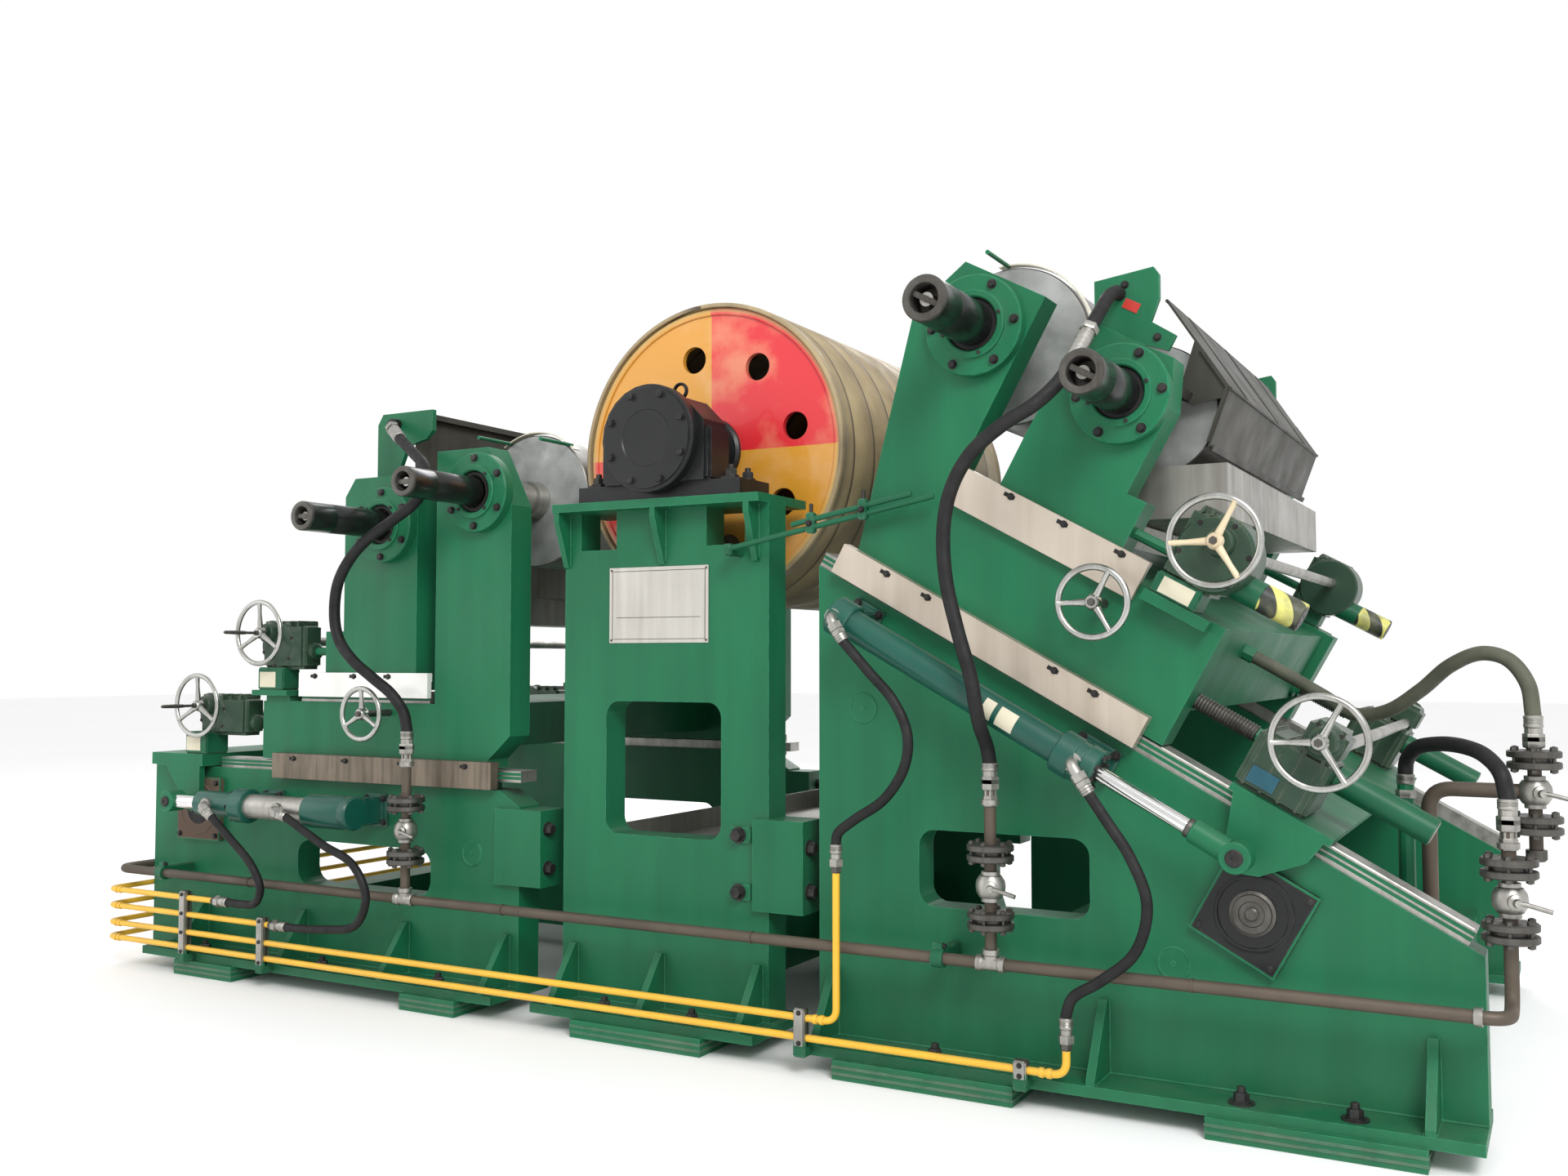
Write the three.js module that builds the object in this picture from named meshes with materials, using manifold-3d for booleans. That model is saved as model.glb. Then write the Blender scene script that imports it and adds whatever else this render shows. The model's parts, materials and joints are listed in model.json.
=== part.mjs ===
// Roll coating machine of a coil coating line: a backing drum on a centre stand,
// a two-roll coating head on level ways at its left and a second head on inclined
// ways at its right. Millimetres, +Z up, X along the strip, Y across it.
import * as THREE from 'three';
import { mergeVertices } from 'three/addons/utils/BufferGeometryUtils.js';
import Module from 'manifold-3d';

const wasm = await Module();
wasm.setup();

// ---- driving dimensions -------------------------------------------------------
const halfDepth = 1030;        // centre plane to the outer face of a side frame
const wall = 110;              // thickness of side frames and carriage cheeks
const innerFace = wall + 0.3;  // depth at which a cross piece starts
const fit = 0.3;               // gap between pieces that touch
const slopeAngle = THREE.MathUtils.degToRad(29);
const slopeStart = [586, 1523];   // top of the inclined way, x and z
const floorGap = 55;           // height of the levelling feet
const plateTop = 85;           // top of the base flanges
const railHeight = 45;
const bore = 66;               // hole for a roll journal
const journal = 58;
const drum = { z: 1955, r: 530, wall: 15, end: 280 };
const rollEnd = 300;           // depth at which a roll barrel starts
const applicator = 250;        // radius of an applicator roll
const leftApplicator = [-785, 1828];
const leftPickup = [-1236, 1731];
const rightApplicator = [130, 862];   // along and off the slope
const rightPickup = [626, 860];
const linePlane = -180;        // depth of the hydraulic lines
const headerPlane = -135;      // depth of the supply header
const headerHeight = 380;
const sides = [['front', -1], ['rear', 1]];

// ---- materials ----------------------------------------------------------------
function paint(color, roughness = 0.5, metalness = 0.1) {
  return new THREE.MeshStandardMaterial({ color, roughness, metalness });
}
const green = paint(0x2f7f5c);
const teal = paint(0x1d6f66);
const blackPaint = paint(0x1b1d20);
const drumSkin = paint(0x8a7f5e, 0.7);
const drumFace = paint(0xc89632);
const rollSteel = paint(0x9a9a96, 0.35, 0.8);
const sheetSteel = paint(0x77736c, 0.4, 0.8);
const bareSteel = paint(0xbdbbb2, 0.3, 0.9);
const rustyPipe = paint(0x6d5a48, 0.8);
const yellow = paint(0xe0b42c);
const hoseRubber = paint(0x17181a, 0.8);
const jackPaint = paint(0x3c4a34);

// ---- placing ------------------------------------------------------------------
const machine = new THREE.Group();
const incline = new THREE.Group();
incline.position.set(slopeStart[0], 0, slopeStart[1]);
incline.rotation.y = slopeAngle;
machine.add(incline);

function add(name, geometry, material, parent = machine) {
  const mesh = new THREE.Mesh(geometry, material);
  mesh.name = name;
  parent.add(mesh);
}

// Y of a depth measured inward from the outer face of one side (-1 front, 1 rear).
function at(side, depth) {
  return side * (halfDepth - depth);
}

// Machine position of a point given along (s) and off (n) the slope.
function onSlope(s, n) {
  const cos = Math.cos(slopeAngle);
  const sin = Math.sin(slopeAngle);
  return [slopeStart[0] + s * cos + n * sin, slopeStart[1] - s * sin + n * cos];
}

// ---- solids -------------------------------------------------------------------
function signedVolume(positions, index) {
  const a = new THREE.Vector3();
  const b = new THREE.Vector3();
  const c = new THREE.Vector3();
  let sum = 0;
  for (let i = 0; i < index.length; i += 3) {
    a.fromArray(positions, 3 * index[i]);
    b.fromArray(positions, 3 * index[i + 1]);
    c.fromArray(positions, 3 * index[i + 2]);
    sum += a.dot(b.cross(c));
  }
  return sum / 6;
}

function toSolid(geometry) {
  const bare = new THREE.BufferGeometry();
  bare.setAttribute('position', geometry.getAttribute('position'));
  bare.setIndex(geometry.index);
  const merged = mergeVertices(bare, 1e-3);
  const positions = merged.getAttribute('position').array;
  const source = merged.index.array;
  const index = [];
  for (let i = 0; i < source.length; i += 3) {
    const [a, b, c] = [source[i], source[i + 1], source[i + 2]];
    if (a !== b && b !== c && c !== a) index.push(a, b, c);
  }
  if (signedVolume(positions, index) < 0) index.reverse();
  const mesh = new wasm.Mesh({
    numProp: 3,
    vertProperties: Float32Array.from(positions),
    triVerts: Uint32Array.from(index),
  });
  return new wasm.Manifold(mesh);
}

function toGeometry(solid) {
  const mesh = solid.getMesh();
  const geometry = new THREE.BufferGeometry();
  geometry.setAttribute('position', new THREE.BufferAttribute(mesh.vertProperties, 3));
  geometry.setIndex(new THREE.BufferAttribute(mesh.triVerts, 1));
  geometry.computeVertexNormals();
  return geometry;
}

function fuse(pieces, holes = []) {
  let solid = pieces.map(toSolid).reduce((sum, piece) => sum.add(piece));
  for (const hole of holes) solid = solid.subtract(toSolid(hole));
  return toGeometry(solid);
}

function block(x0, x1, y0, y1, z0, z1) {
  const box = new THREE.BoxGeometry(Math.abs(x1 - x0), Math.abs(y1 - y0), Math.abs(z1 - z0));
  return box.translate((x0 + x1) / 2, (y0 + y1) / 2, (z0 + z1) / 2);
}

// Outline in X and Z, extruded across the machine.
function slab(points, y0, y1) {
  const shape = new THREE.Shape(points.map(([x, z]) => new THREE.Vector2(x, z)));
  return slabOf(shape, y0, y1);
}

function slabOf(shape, y0, y1) {
  const low = Math.min(y0, y1);
  const high = Math.max(y0, y1);
  const options = { depth: high - low, bevelEnabled: false, curveSegments: 3 };
  return new THREE.ExtrudeGeometry(shape, options).rotateX(Math.PI / 2).translate(0, high, 0);
}

// Outline in depth and Z on one side, extruded along X.
function profile(side, points, x0, x1) {
  const shape = new THREE.Shape(points.map(([d, z]) => new THREE.Vector2(at(side, d), z)));
  const turned = new THREE.Matrix4().makeBasis(
    new THREE.Vector3(0, 1, 0), new THREE.Vector3(0, 0, 1), new THREE.Vector3(1, 0, 0));
  const extruded = new THREE.ExtrudeGeometry(shape, { depth: x1 - x0, bevelEnabled: false });
  return extruded.applyMatrix4(turned).translate(x0, 0, 0);
}

function roundedWindow(x0, x1, z0, z1, r) {
  const shape = new THREE.Shape();
  shape.moveTo(x0 + r, z0);
  shape.lineTo(x1 - r, z0);
  shape.absarc(x1 - r, z0 + r, r, -Math.PI / 2, 0);
  shape.absarc(x1 - r, z1 - r, r, 0, Math.PI / 2);
  shape.absarc(x0 + r, z1 - r, r, Math.PI / 2, Math.PI);
  shape.absarc(x0 + r, z0 + r, r, Math.PI, 1.5 * Math.PI);
  return slabOf(shape, -halfDepth - 5, halfDepth + 5);
}

// Round bar between two points.
function bar(from, to, r, segments = 8) {
  const a = new THREE.Vector3(...from);
  const b = new THREE.Vector3(...to);
  const axis = b.clone().sub(a);
  const geometry = new THREE.CylinderGeometry(r, r, axis.length(), segments);
  const turn = new THREE.Quaternion().setFromUnitVectors(
    new THREE.Vector3(0, 1, 0), axis.clone().normalize());
  const middle = a.add(b).multiplyScalar(0.5);
  return geometry.applyQuaternion(turn).translate(middle.x, middle.y, middle.z);
}

function barY(x, z, r, y0, y1, segments = 12) {
  return bar([x, Math.min(y0, y1), z], [x, Math.max(y0, y1), z], r, segments);
}

// Revolved piece on an axis parallel to Y; points are [radius, y].
function turned(points, x, z, segments = 32) {
  const outline = points.map(([r, y]) => new THREE.Vector2(r, y));
  return new THREE.LatheGeometry(outline, segments).translate(x, 0, z);
}

// Path through fixed points that keeps each of them as a step.
class PointPath extends THREE.Curve {
  constructor(points) {
    super();
    this.points = points;
  }

  getPoint(t) {
    const place = t * (this.points.length - 1);
    const i = Math.min(Math.floor(place), this.points.length - 2);
    return this.points[i].clone().lerp(this.points[i + 1], place - i);
  }

  getPointAt(u) {
    return this.getPoint(u);
  }

  getTangentAt(u) {
    const last = this.points.length - 1;
    const i = Math.round(u * last);
    const before = this.points[Math.max(i - 1, 0)];
    const here = this.points[i];
    const after = this.points[Math.min(i + 1, last)];
    const into = here.clone().sub(before).normalize();
    const out = after.clone().sub(here).normalize();
    return into.add(out).normalize();
  }
}

function tubeAlong(points, r, sideCount) {
  const circle = new THREE.Shape();
  circle.absarc(0, 0, r, 0, 2 * Math.PI);
  return new THREE.ExtrudeGeometry(circle, {
    extrudePath: new PointPath(points),
    steps: points.length - 1,
    curveSegments: sideCount / 2,
    bevelEnabled: false,
  });
}

// Straight pipe runs with bends of one radius at the corners.
function pipe(corners, r, bend, sideCount = 6) {
  const points = [new THREE.Vector3(...corners[0])];
  for (let i = 1; i < corners.length - 1; i += 1) {
    const before = new THREE.Vector3(...corners[i - 1]);
    const corner = new THREE.Vector3(...corners[i]);
    const after = new THREE.Vector3(...corners[i + 1]);
    const start = corner.clone().add(before.sub(corner).setLength(bend));
    const end = corner.clone().add(after.sub(corner).setLength(bend));
    const arc = new THREE.QuadraticBezierCurve3(start, corner, end);
    points.push(...arc.getPoints(3));
  }
  points.push(new THREE.Vector3(...corners[corners.length - 1]));
  return tubeAlong(points, r, sideCount);
}

// Hose through points chosen by hand; its first and last stretch are straight.
function hose(route, r, steps) {
  const places = route.map((place) => new THREE.Vector3(...place));
  const curve = new THREE.CatmullRomCurve3(places.slice(1, -1), false, 'centripetal');
  const points = [places[0], ...curve.getSpacedPoints(steps), places[places.length - 1]];
  return fuse([tubeAlong(points, r, 8)]);
}

// ---- centre stand -------------------------------------------------------------
function gusset(side, x, height) {
  const reach = -143;
  const low = plateTop - 1;
  const outline = [[1, low], [reach, low], [reach, low + 16], [-18, height], [1, height]];
  return profile(side, outline, x - 12, x + 12);
}

function foot(side, x0, x1) {
  return block(x0, x1, at(side, -160), at(side, 160), 0, floorGap + 1);
}

function standCheek(side) {
  const front = at(side, 0);
  const pieces = [
    block(-405, 405, front, at(side, wall), plateTop - 1, 1731),
    block(-411, 405, at(side, -70), at(side, 250), 1730, 1758),
    block(-430, 430, at(side, -145), at(side, 190), floorGap, plateTop),
    block(356, 538, at(side, -20), at(side, wall), 436, 724),
    foot(side, -250, 250),
  ];
  const bracket = [[1, 1731], [-68, 1731], [-68, 1700], [-10, 1545], [1, 1540]];
  for (const x of [-395, 0, 358]) pieces.push(profile(side, bracket, x - 10, x + 10));
  for (const x of [-350, 0, 372]) pieces.push(gusset(side, x, 270));
  const holes = [
    roundedWindow(-228, 228, 645, 1089, 50),
    block(-339, -190, -1200, 1200, 1601, 1730),
    block(170, 316, -1200, 1200, 1601, 1730),
  ];
  return fuse(pieces, holes);
}

function drumBearing(side) {
  const body = [[-195, 1812], [-195, 2010], [-120, 2085], [120, 2085], [195, 2010], [195, 1812]];
  const pieces = [
    block(-320, 320, at(side, -40), at(side, 150), 1758 + fit, 1813),
    slab(body, at(side, -60), at(side, 80)),
    barY(0, drum.z, 178, at(side, -100), at(side, -59), 24),
  ];
  return fuse(pieces, [barY(0, drum.z, bore, at(side, 15), at(side, 81))]);
}

// ---- side frames of the two heads ---------------------------------------------
function leftFrame(side) {
  const low = floorGap + 1;
  const outline = [
    [-2528, low], [-2528, 796], [-772, 796], [-772, 765], [-690, 765], [-600, 713], [-600, low],
  ];
  const pieces = [
    slab(outline, at(side, 0), at(side, wall)),
    block(-2400, -600, at(side, -145), at(side, 170), floorGap, plateTop),
    block(-694, -491, at(side, -20), at(side, wall), 441, 705),
    block(-2140, -601, at(side, 8), at(side, 92), 795, 796 + railHeight - 6),
    block(-2360, -2110, at(side, -25), at(side, 1), 503, 753),
    foot(side, -2190, -1866),
    foot(side, -1000, -750),
  ];
  for (const x of [-2200, -1640, -1120, -650]) pieces.push(gusset(side, x, 270));
  return fuse(pieces, [roundedWindow(-1690, -1009, 365, 535, 60)]);
}

function rightFrame(side) {
  const slopeEnd = onSlope(2114, 0);
  const outline = [[slopeStart[0], floorGap + 1], slopeStart, slopeEnd, [slopeEnd[0], floorGap + 1]];
  const rail = [onSlope(0, -1), onSlope(2070, -1), onSlope(2070, railHeight), onSlope(0, railHeight)];
  const flange = [onSlope(1480, -335), onSlope(1730, -335), onSlope(1730, -85), onSlope(1480, -85)];
  const pieces = [
    slab(outline, at(side, 0), at(side, wall)),
    slab(rail, at(side, 8), at(side, 92)),
    slab(flange, at(side, -25), at(side, 1)),
    block(slopeStart[0], slopeEnd[0], at(side, -145), at(side, 170), floorGap, plateTop),
    foot(side, 710, 1265),
    foot(side, 1785, 2310),
  ];
  for (const x of [640, 1480, 2315]) pieces.push(gusset(side, x, 290));
  return fuse(pieces, [roundedWindow(921, 1441, 498, 724, 50)]);
}

function baseGirder() {
  const reach = halfDepth - innerFace;
  const pieces = [block(-1900, 2310, -120, 120, 110, 290)];
  for (const [x0, x1] of [[-1900, -1750], [-100, 100], [1000, 1150], [2150, 2310]]) {
    pieces.push(block(x0, x1, -reach, reach, 100, 300));
  }
  const stub = at(-1, 330);
  pieces.push(bar([2230, stub, 299], [2230, stub, 890], 22, 12));
  return fuse(pieces);
}

function dripTray() {
  const reach = halfDepth - innerFace;
  const outer = block(-380, 380, -reach, reach, 560, 640);
  return fuse([outer], [block(-374, 374, 6 - reach, reach - 6, 566, 650)]);
}

// ---- drum and rolls -----------------------------------------------------------
function drumShell() {
  const end = halfDepth - drum.end;
  const inner = drum.r - drum.wall;
  const shell = [[inner, -end], [drum.r, -end], [drum.r, end], [inner, end], [inner, -end]];
  return fuse([turned(shell, 0, drum.z)]);
}

function drumEnd(side) {
  const holeCircle = 345;
  const disc = drum.r - drum.wall - 0.5;
  const points = [[0, 25], [60, 25], [60, 290], [120, 290], [120, 300], [disc, 300], [disc, 320], [0, 320]];
  const placed = points.map(([r, d]) => [r, at(side, d)]);
  const holes = [];
  for (let i = 0; i < 8; i += 1) {
    const angle = THREE.MathUtils.degToRad(12 + 45 * i);
    const x = holeCircle * Math.cos(angle);
    const z = drum.z + holeCircle * Math.sin(angle);
    holes.push(barY(x, z, 48, at(side, 290), at(side, 330), 10));
  }
  return fuse([turned(placed, 0, drum.z)], holes);
}

// Barrel with journals, and at the front the open coupling sleeve of its drive.
function roll([x, z], barrel, sleeve, tip) {
  const mouth = at(-1, tip);
  const recess = 0.62 * sleeve;
  const end = halfDepth - rollEnd;
  const points = [
    [0, mouth + 70], [recess, mouth + 70], [recess, mouth], [sleeve, mouth], [sleeve, at(-1, -46)],
    [journal, at(-1, -46)], [journal, -end], [barrel, -end], [barrel, end], [journal, end],
    [journal, at(1, -70)], [0, at(1, -70)],
  ];
  return fuse([turned(points, x, z, 24)]);
}

function journalFlange(side, [x, z], r) {
  return barY(x, z, r, at(side, -40), at(side, 1), 24);
}

function journalHole(side, [x, z]) {
  return barY(x, z, bore, at(side, -45), at(side, wall + 5));
}

// ---- left head ----------------------------------------------------------------
function leftCarriageCheek(side) {
  const outline = [
    [-1895, 873], [-743, 873], [-648, 957], [-648, 1779], [-757, 1993], [-1000, 1993],
    [-1000, 1066], [-1895, 1066],
  ];
  const cover = [[-42, 772], [-42, 865], [1, 865], [1, 845], [-6, 845], [-6, 772]];
  const pieces = [
    slab(outline, at(side, 0), at(side, wall)),
    block(-1895, -745, at(side, 0), at(side, wall), 841, 874),
    block(-1690, -1030, at(side, 8), at(side, 92), 1065, 1108),
    block(-1930, -1735, at(side, -30), at(side, wall), 1088, 1109),
    block(-1880, -1750, at(side, 0), at(side, wall), 1065, 1089),
    profile(side, cover, -1793, -696),
    journalFlange(side, leftApplicator, 142),
  ];
  return fuse(pieces, [journalHole(side, leftApplicator)]);
}

function leftCarriageBeam() {
  const reach = halfDepth - innerFace;
  const pieces = [block(-1850, -1060, -reach, reach, 885, 1055)];
  const post = [
    [-1416, 1050], [-1416, 2140], [-1390, 2180], [-1135, 2180], [-1135, 2100], [-1165, 2070],
    [-1260, 2050], [-1340, 1880], [-1340, 1050],
  ];
  for (const [, side] of sides) pieces.push(slab(post, at(side, 116), at(side, 136)));
  return fuse(pieces);
}

function leftSplashGuard() {
  const reach = halfDepth - 136 - fit;
  const sheet = [
    [-1240, 1945], [-1232, 1945], [-1232, 2157], [-1200, 2157], [-1200, 2178], [-1208, 2178],
    [-1208, 2165], [-1240, 2165],
  ];
  return fuse([slab(sheet, -reach, reach)]);
}

function leftSlideCheek(side) {
  const outline = [
    [-1557, 1114], [-1094, 1114], [-1094, 1918], [-1414, 1918], [-1464, 1850], [-1464, 1336],
    [-1557, 1336],
  ];
  const pieces = [
    slab(outline, at(side, 0), at(side, wall)),
    block(-1671, -1013, at(side, -26), at(side, -6), 1088, 1177),
    block(-1550, -1100, at(side, -7), at(side, 1), 1150, 1177),
    journalFlange(side, leftPickup, 140),
    bar([-1556, at(side, 40), 1260], [-1700, at(side, 40), 1260], 16),
  ];
  return fuse(pieces, [journalHole(side, leftPickup)]);
}

function leftPan() {
  const reach = halfDepth - innerFace;
  const outer = block(-1450, -1025, -800, 800, 1480, 1640);
  const beam = block(-1295, -1120, -reach, reach, 1370, 1481);
  return fuse([outer, beam], [block(-1444, -1031, -794, 794, 1486, 1650)]);
}

function leftRam() {
  const pieces = [block(-2478, -2175, at(-1, -60), at(1, -60), 801, 849)];
  const lug = [
    [-2395, 802], [-2190, 802], [-2190, 655], [-2208, 630], [-2230, 620], [-2255, 627], [-2270, 650],
  ];
  for (const [, side] of sides) {
    pieces.push(slab(lug, at(side, -60), at(side, -35)));
    pieces.push(barY(-2227, 670, 20, at(side, -36), at(side, -190)));
    pieces.push(barY(-2227, 670, 40, at(side, -185), at(side, -118)));
    pieces.push(bar([-2227, at(side, -150), 670], [-1760, at(side, -150), 670], 26));
  }
  return fuse(pieces);
}

function leftCylinder(side) {
  const y = at(side, -150);
  const z = 670;
  const mount = at(side, -fit);
  const pieces = [
    bar([-2063, y, z], [-1850, y, z], 48, 12),
    bar([-1852, y, z], [-1781, y, z], 65, 12),
    bar([-1783, y, z], [-1465, y, z], 45, 12),
    bar([-1467, y, z], [-1232, y, z], 62, 12),
    block(-1300, -1240, y, mount, 620, 720),
    block(-1845, -1788, y, mount, 630, 710),
  ];
  if (side < 0) {
    pieces.push(pipe([[-1975, y, z], [-1975, at(side, -225), z], [-1928, at(side, -225), 640]], 20, 22));
    pieces.push(pipe([[-1590, y, z], [-1590, at(side, -225), z], [-1530, at(side, -225), 655]], 20, 22));
  }
  return fuse(pieces, [bar([-2070, y, z], [-1700, y, z], 34, 20)]);
}

// Pair of worm gear jacks on one level, linked by a cross shaft.
function leftUpperJack() {
  const pieces = [bar([-1830, at(-1, 60), 1300], [-1830, at(1, 60), 1300], 18, 12)];
  const holes = [];
  for (const [, side] of sides) {
    const y = at(side, 40);
    pieces.push(block(-1900, -1760, at(side, -28), at(side, 60), 1109 + fit, 1191));
    pieces.push(block(-1905, -1640, at(side, -20), at(side, 90), 1190, 1380));
    pieces.push(barY(-1843, 1332, 42, at(side, -45), at(side, 0)));
    holes.push(bar([-1600, y, 1260], [-1780, y, 1260], 22));
  }
  return fuse(pieces, holes);
}

function leftLowerJack() {
  const pieces = [bar([-2190, at(-1, 60), 1000], [-2190, at(1, 60), 1000], 18, 12)];
  const holes = [];
  for (const [, side] of sides) {
    const y = at(side, 40);
    pieces.push(block(-2290, -2165, at(side, -50), at(side, 60), 849 + fit, 931));
    pieces.push(block(-2260, -1960, at(side, -20), at(side, 90), 930, 1090));
    pieces.push(barY(-2194, 1044, 42, at(side, -45), at(side, 0)));
    holes.push(bar([-1950, y, 975], [-2140, y, 975], 24));
  }
  return fuse(pieces, holes);
}

// ---- right head, in along-slope coordinates -----------------------------------
function rightCarriageCheek(side) {
  const outline = [
    [97, 51], [1186, 51], [1186, 415], [281, 415], [281, 1022], [0, 1022], [-85, 829], [97, 115],
  ];
  const cover = [[-42, 12], [-42, 105], [1, 105], [1, 80], [-6, 80], [-6, 12]];
  const pieces = [
    slab(outline, at(side, 0), at(side, wall)),
    block(320, 900, at(side, 8), at(side, 92), 414, 452),
    block(953, 1150, at(side, -60), at(side, wall), 385, 416),
    profile(side, cover, 68, 1126),
    journalFlange(side, rightApplicator, 150),
  ];
  return fuse(pieces, [journalHole(side, rightApplicator)]);
}

function rightCarriageBeam() {
  const reach = halfDepth - innerFace;
  const pieces = [
    block(200, 1150, -reach, reach, 130, 400),
    bar([1149, at(-1, 600), 330], [1185, at(-1, 600), 330], 24),
  ];
  const post = [
    [430, 380], [500, 380], [500, 960], [520, 1010], [646, 1030], [646, 1078], [560, 1085],
    [551, 1153], [517, 1215], [492, 1228], [351, 1124], [420, 1000], [430, 900],
  ];
  for (const [, side] of sides) {
    pieces.push(slab(post, at(side, 116), at(side, 136)));
    pieces.push(bar([1149, at(side, 150), 186], [1480, at(side, 150), 186], 20));
  }
  return fuse(pieces);
}

function rightSlideCheek(side) {
  const outline = [
    [418, 458], [830, 458], [830, 620], [768, 620], [768, 880], [710, 1010], [428, 1010], [418, 631],
  ];
  const pieces = [
    slab(outline, at(side, 0), at(side, wall)),
    block(293, 925, at(side, -26), at(side, -6), 366, 480),
    block(422, 826, at(side, -7), at(side, 1), 462, 480),
    journalFlange(side, rightPickup, 141),
    bar([829, at(side, 60), 530], [1040, at(side, 60), 530], 16),
  ];
  return fuse(pieces, [journalHole(side, rightPickup)]);
}

function rightPan() {
  const reach = halfDepth - innerFace;
  const beam = [onSlope(540, 470), onSlope(760, 470), onSlope(760, 545), onSlope(540, 545)];
  const outer = block(1330, 1785, -790, 790, 1640, 1795);
  return fuse([outer, slab(beam, -reach, reach)], [block(1336, 1779, -784, 784, 1646, 1805)]);
}

function rightHood() {
  const reach = 780;
  const sheet = [
    [530, 1165], [815, 1010], [842, 835], [848, 836], [821, 1014], [533, 1171],
  ];
  const nearEnd = [[690, 925], [740, 925], [822, 985], [816, 1012], [660, 1098], [680, 1000]];
  const pieces = [slab(sheet, -reach, reach)];
  for (const [, side] of sides) {
    pieces.push(slab(nearEnd, at(side, 250), at(side, 257)));
    pieces.push(block(692, 732, at(side, innerFace), at(side, 252), 930, 955));
  }
  return fuse(pieces);
}

function rightRam() {
  const pieces = [block(1401, 1686, at(-1, -60), at(1, -60), 51, 71)];
  const lug = [
    [1415, 52], [1455, -60], [1468, -100], [1500, -126], [1540, -126], [1575, -110], [1660, -15], [1670, 52],
  ];
  const pin = [1515, -75];
  for (const [, side] of sides) {
    const y = at(side, -150);
    pieces.push(slab(lug, at(side, -60), at(side, -35)));
    pieces.push(barY(...pin, 22, at(side, -36), at(side, -190)));
    pieces.push(barY(...pin, 38, at(side, -185), at(side, -118)));
    pieces.push(bar([1386, y, -75], [1515, y, -75], 30));
    pieces.push(bar([700, y, -75], [1390, y, -75], 18));
  }
  return fuse(pieces);
}

function rightCylinder(side) {
  const y = at(side, -150);
  const n = -75;
  const pieces = [
    bar([190, y, n], [260, y, n], 60, 12),
    bar([258, y, n], [977, y, n], 45, 12),
    bar([975, y, n], [1100, y, n], 62, 12),
    block(198, 252, y, at(side, -fit), -115, -35),
    block(1000, 1080, y, at(side, -fit), -115, -35),
  ];
  if (side < 0) {
    pieces.push(pipe([[214, y, n], [214, at(side, -225), n], [270, at(side, -225), -105]], 20, 24));
    pieces.push(pipe([[1040, y, n], [1040, at(side, -225), n], [1104, at(side, -225), -110]], 20, 24));
  }
  return fuse(pieces, [bar([1105, y, n], [420, y, n], 24, 20)]);
}

function rightUpperJack() {
  const pieces = [bar([1075, at(-1, 60), 600], [1075, at(1, 60), 600], 18, 12)];
  const holes = [];
  for (const [, side] of sides) {
    const y = at(side, 60);
    pieces.push(block(965, 1100, at(side, -55), at(side, 60), 416 + fit, 471));
    pieces.push(block(960, 1152, at(side, -60), at(side, 105), 470, 690));
    pieces.push(bar([1151, y, 530], [1335, y, 530], 40));
    pieces.push(barY(1076, 616, 42, at(side, -95), at(side, -59)));
    holes.push(bar([950, y, 530], [1120, y, 530], 22));
  }
  return fuse(pieces, holes);
}

function rightLowerJack() {
  const pieces = [bar([1560, at(-1, 60), 250], [1560, at(1, 60), 250], 18, 12)];
  const holes = [];
  for (const [, side] of sides) {
    const y = at(side, 150);
    pieces.push(block(1394, 1600, at(side, -40), at(side, 220), 71 + fit, 245));
    pieces.push(block(1490, 1600, at(side, -40), at(side, 120), 240, 325));
    pieces.push(bar([1599, y, 186], [1872, y, 186], 38));
    pieces.push(barY(1548, 282, 42, at(side, -95), at(side, -39)));
    holes.push(bar([1380, y, 186], [1540, y, 186], 26));
  }
  return fuse(pieces, holes);
}

// ---- handwheels ---------------------------------------------------------------
// Rim, three spokes, hub and shaft; the shaft reaches inward to its bearing.
function handwheel([x, z], radius, depth, shaftEnd, grip = 0) {
  const y = at(-1, depth);
  const rim = new THREE.TorusGeometry(radius, 9, 4, 18).rotateX(Math.PI / 2).translate(x, y, z);
  const pieces = [rim, barY(x, z, 20, y - 16, y + 18, 8), barY(x, z, 12, y, at(-1, shaftEnd), 6)];
  for (let i = 0; i < 3; i += 1) {
    const angle = THREE.MathUtils.degToRad(90 + 120 * i);
    const tip = [x + radius * Math.cos(angle), y, z + radius * Math.sin(angle)];
    pieces.push(bar([x, y, z], tip, 8, 4));
  }
  if (grip > 0) pieces.push(barY(x, z, 8, y - grip, y, 6));
  return fuse(pieces);
}

// ---- pipework -----------------------------------------------------------------
function flangePair(x, y, z) {
  return bar([x, y, z - 24], [x, y, z + 24], 68, 12);
}

// Upright branch with a flanged ball valve and a hose ferrule on top.
function valveBranch(x, y, base, lower, upper, top) {
  const middle = (lower + upper) / 2;
  return [
    bar([x, y, base], [x, y, top - 60], 17),
    flangePair(x, y, lower),
    flangePair(x, y, upper),
    bar([x, y, middle - 38], [x, y, middle + 38], 42),
    bar([x, y, top - 100], [x, y, top], 25),
  ];
}

function supplyHeader() {
  const y = at(-1, headerPlane);
  const left = -2565;
  const right = 2492;
  const run = pipe([[left, 1000, headerHeight], [left, y, headerHeight], [right, y, headerHeight],
    [right, at(-1, 0), headerHeight], [right, at(-1, 0), 500]], 17, 60);
  const hanger = (x) => block(x - 15, x + 15, y - 30, at(-1, -fit), headerHeight - 30, headerHeight + 30);
  return fuse([
    run,
    ...valveBranch(-1003, y, headerHeight, 529, 716, 947),
    ...valveBranch(1198, y, headerHeight, 501, 688, 918),
    ...valveBranch(right, at(-1, 0), 480, 564, 720, 863),
    hanger(-2300),
    hanger(1040),
  ]);
}

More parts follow.
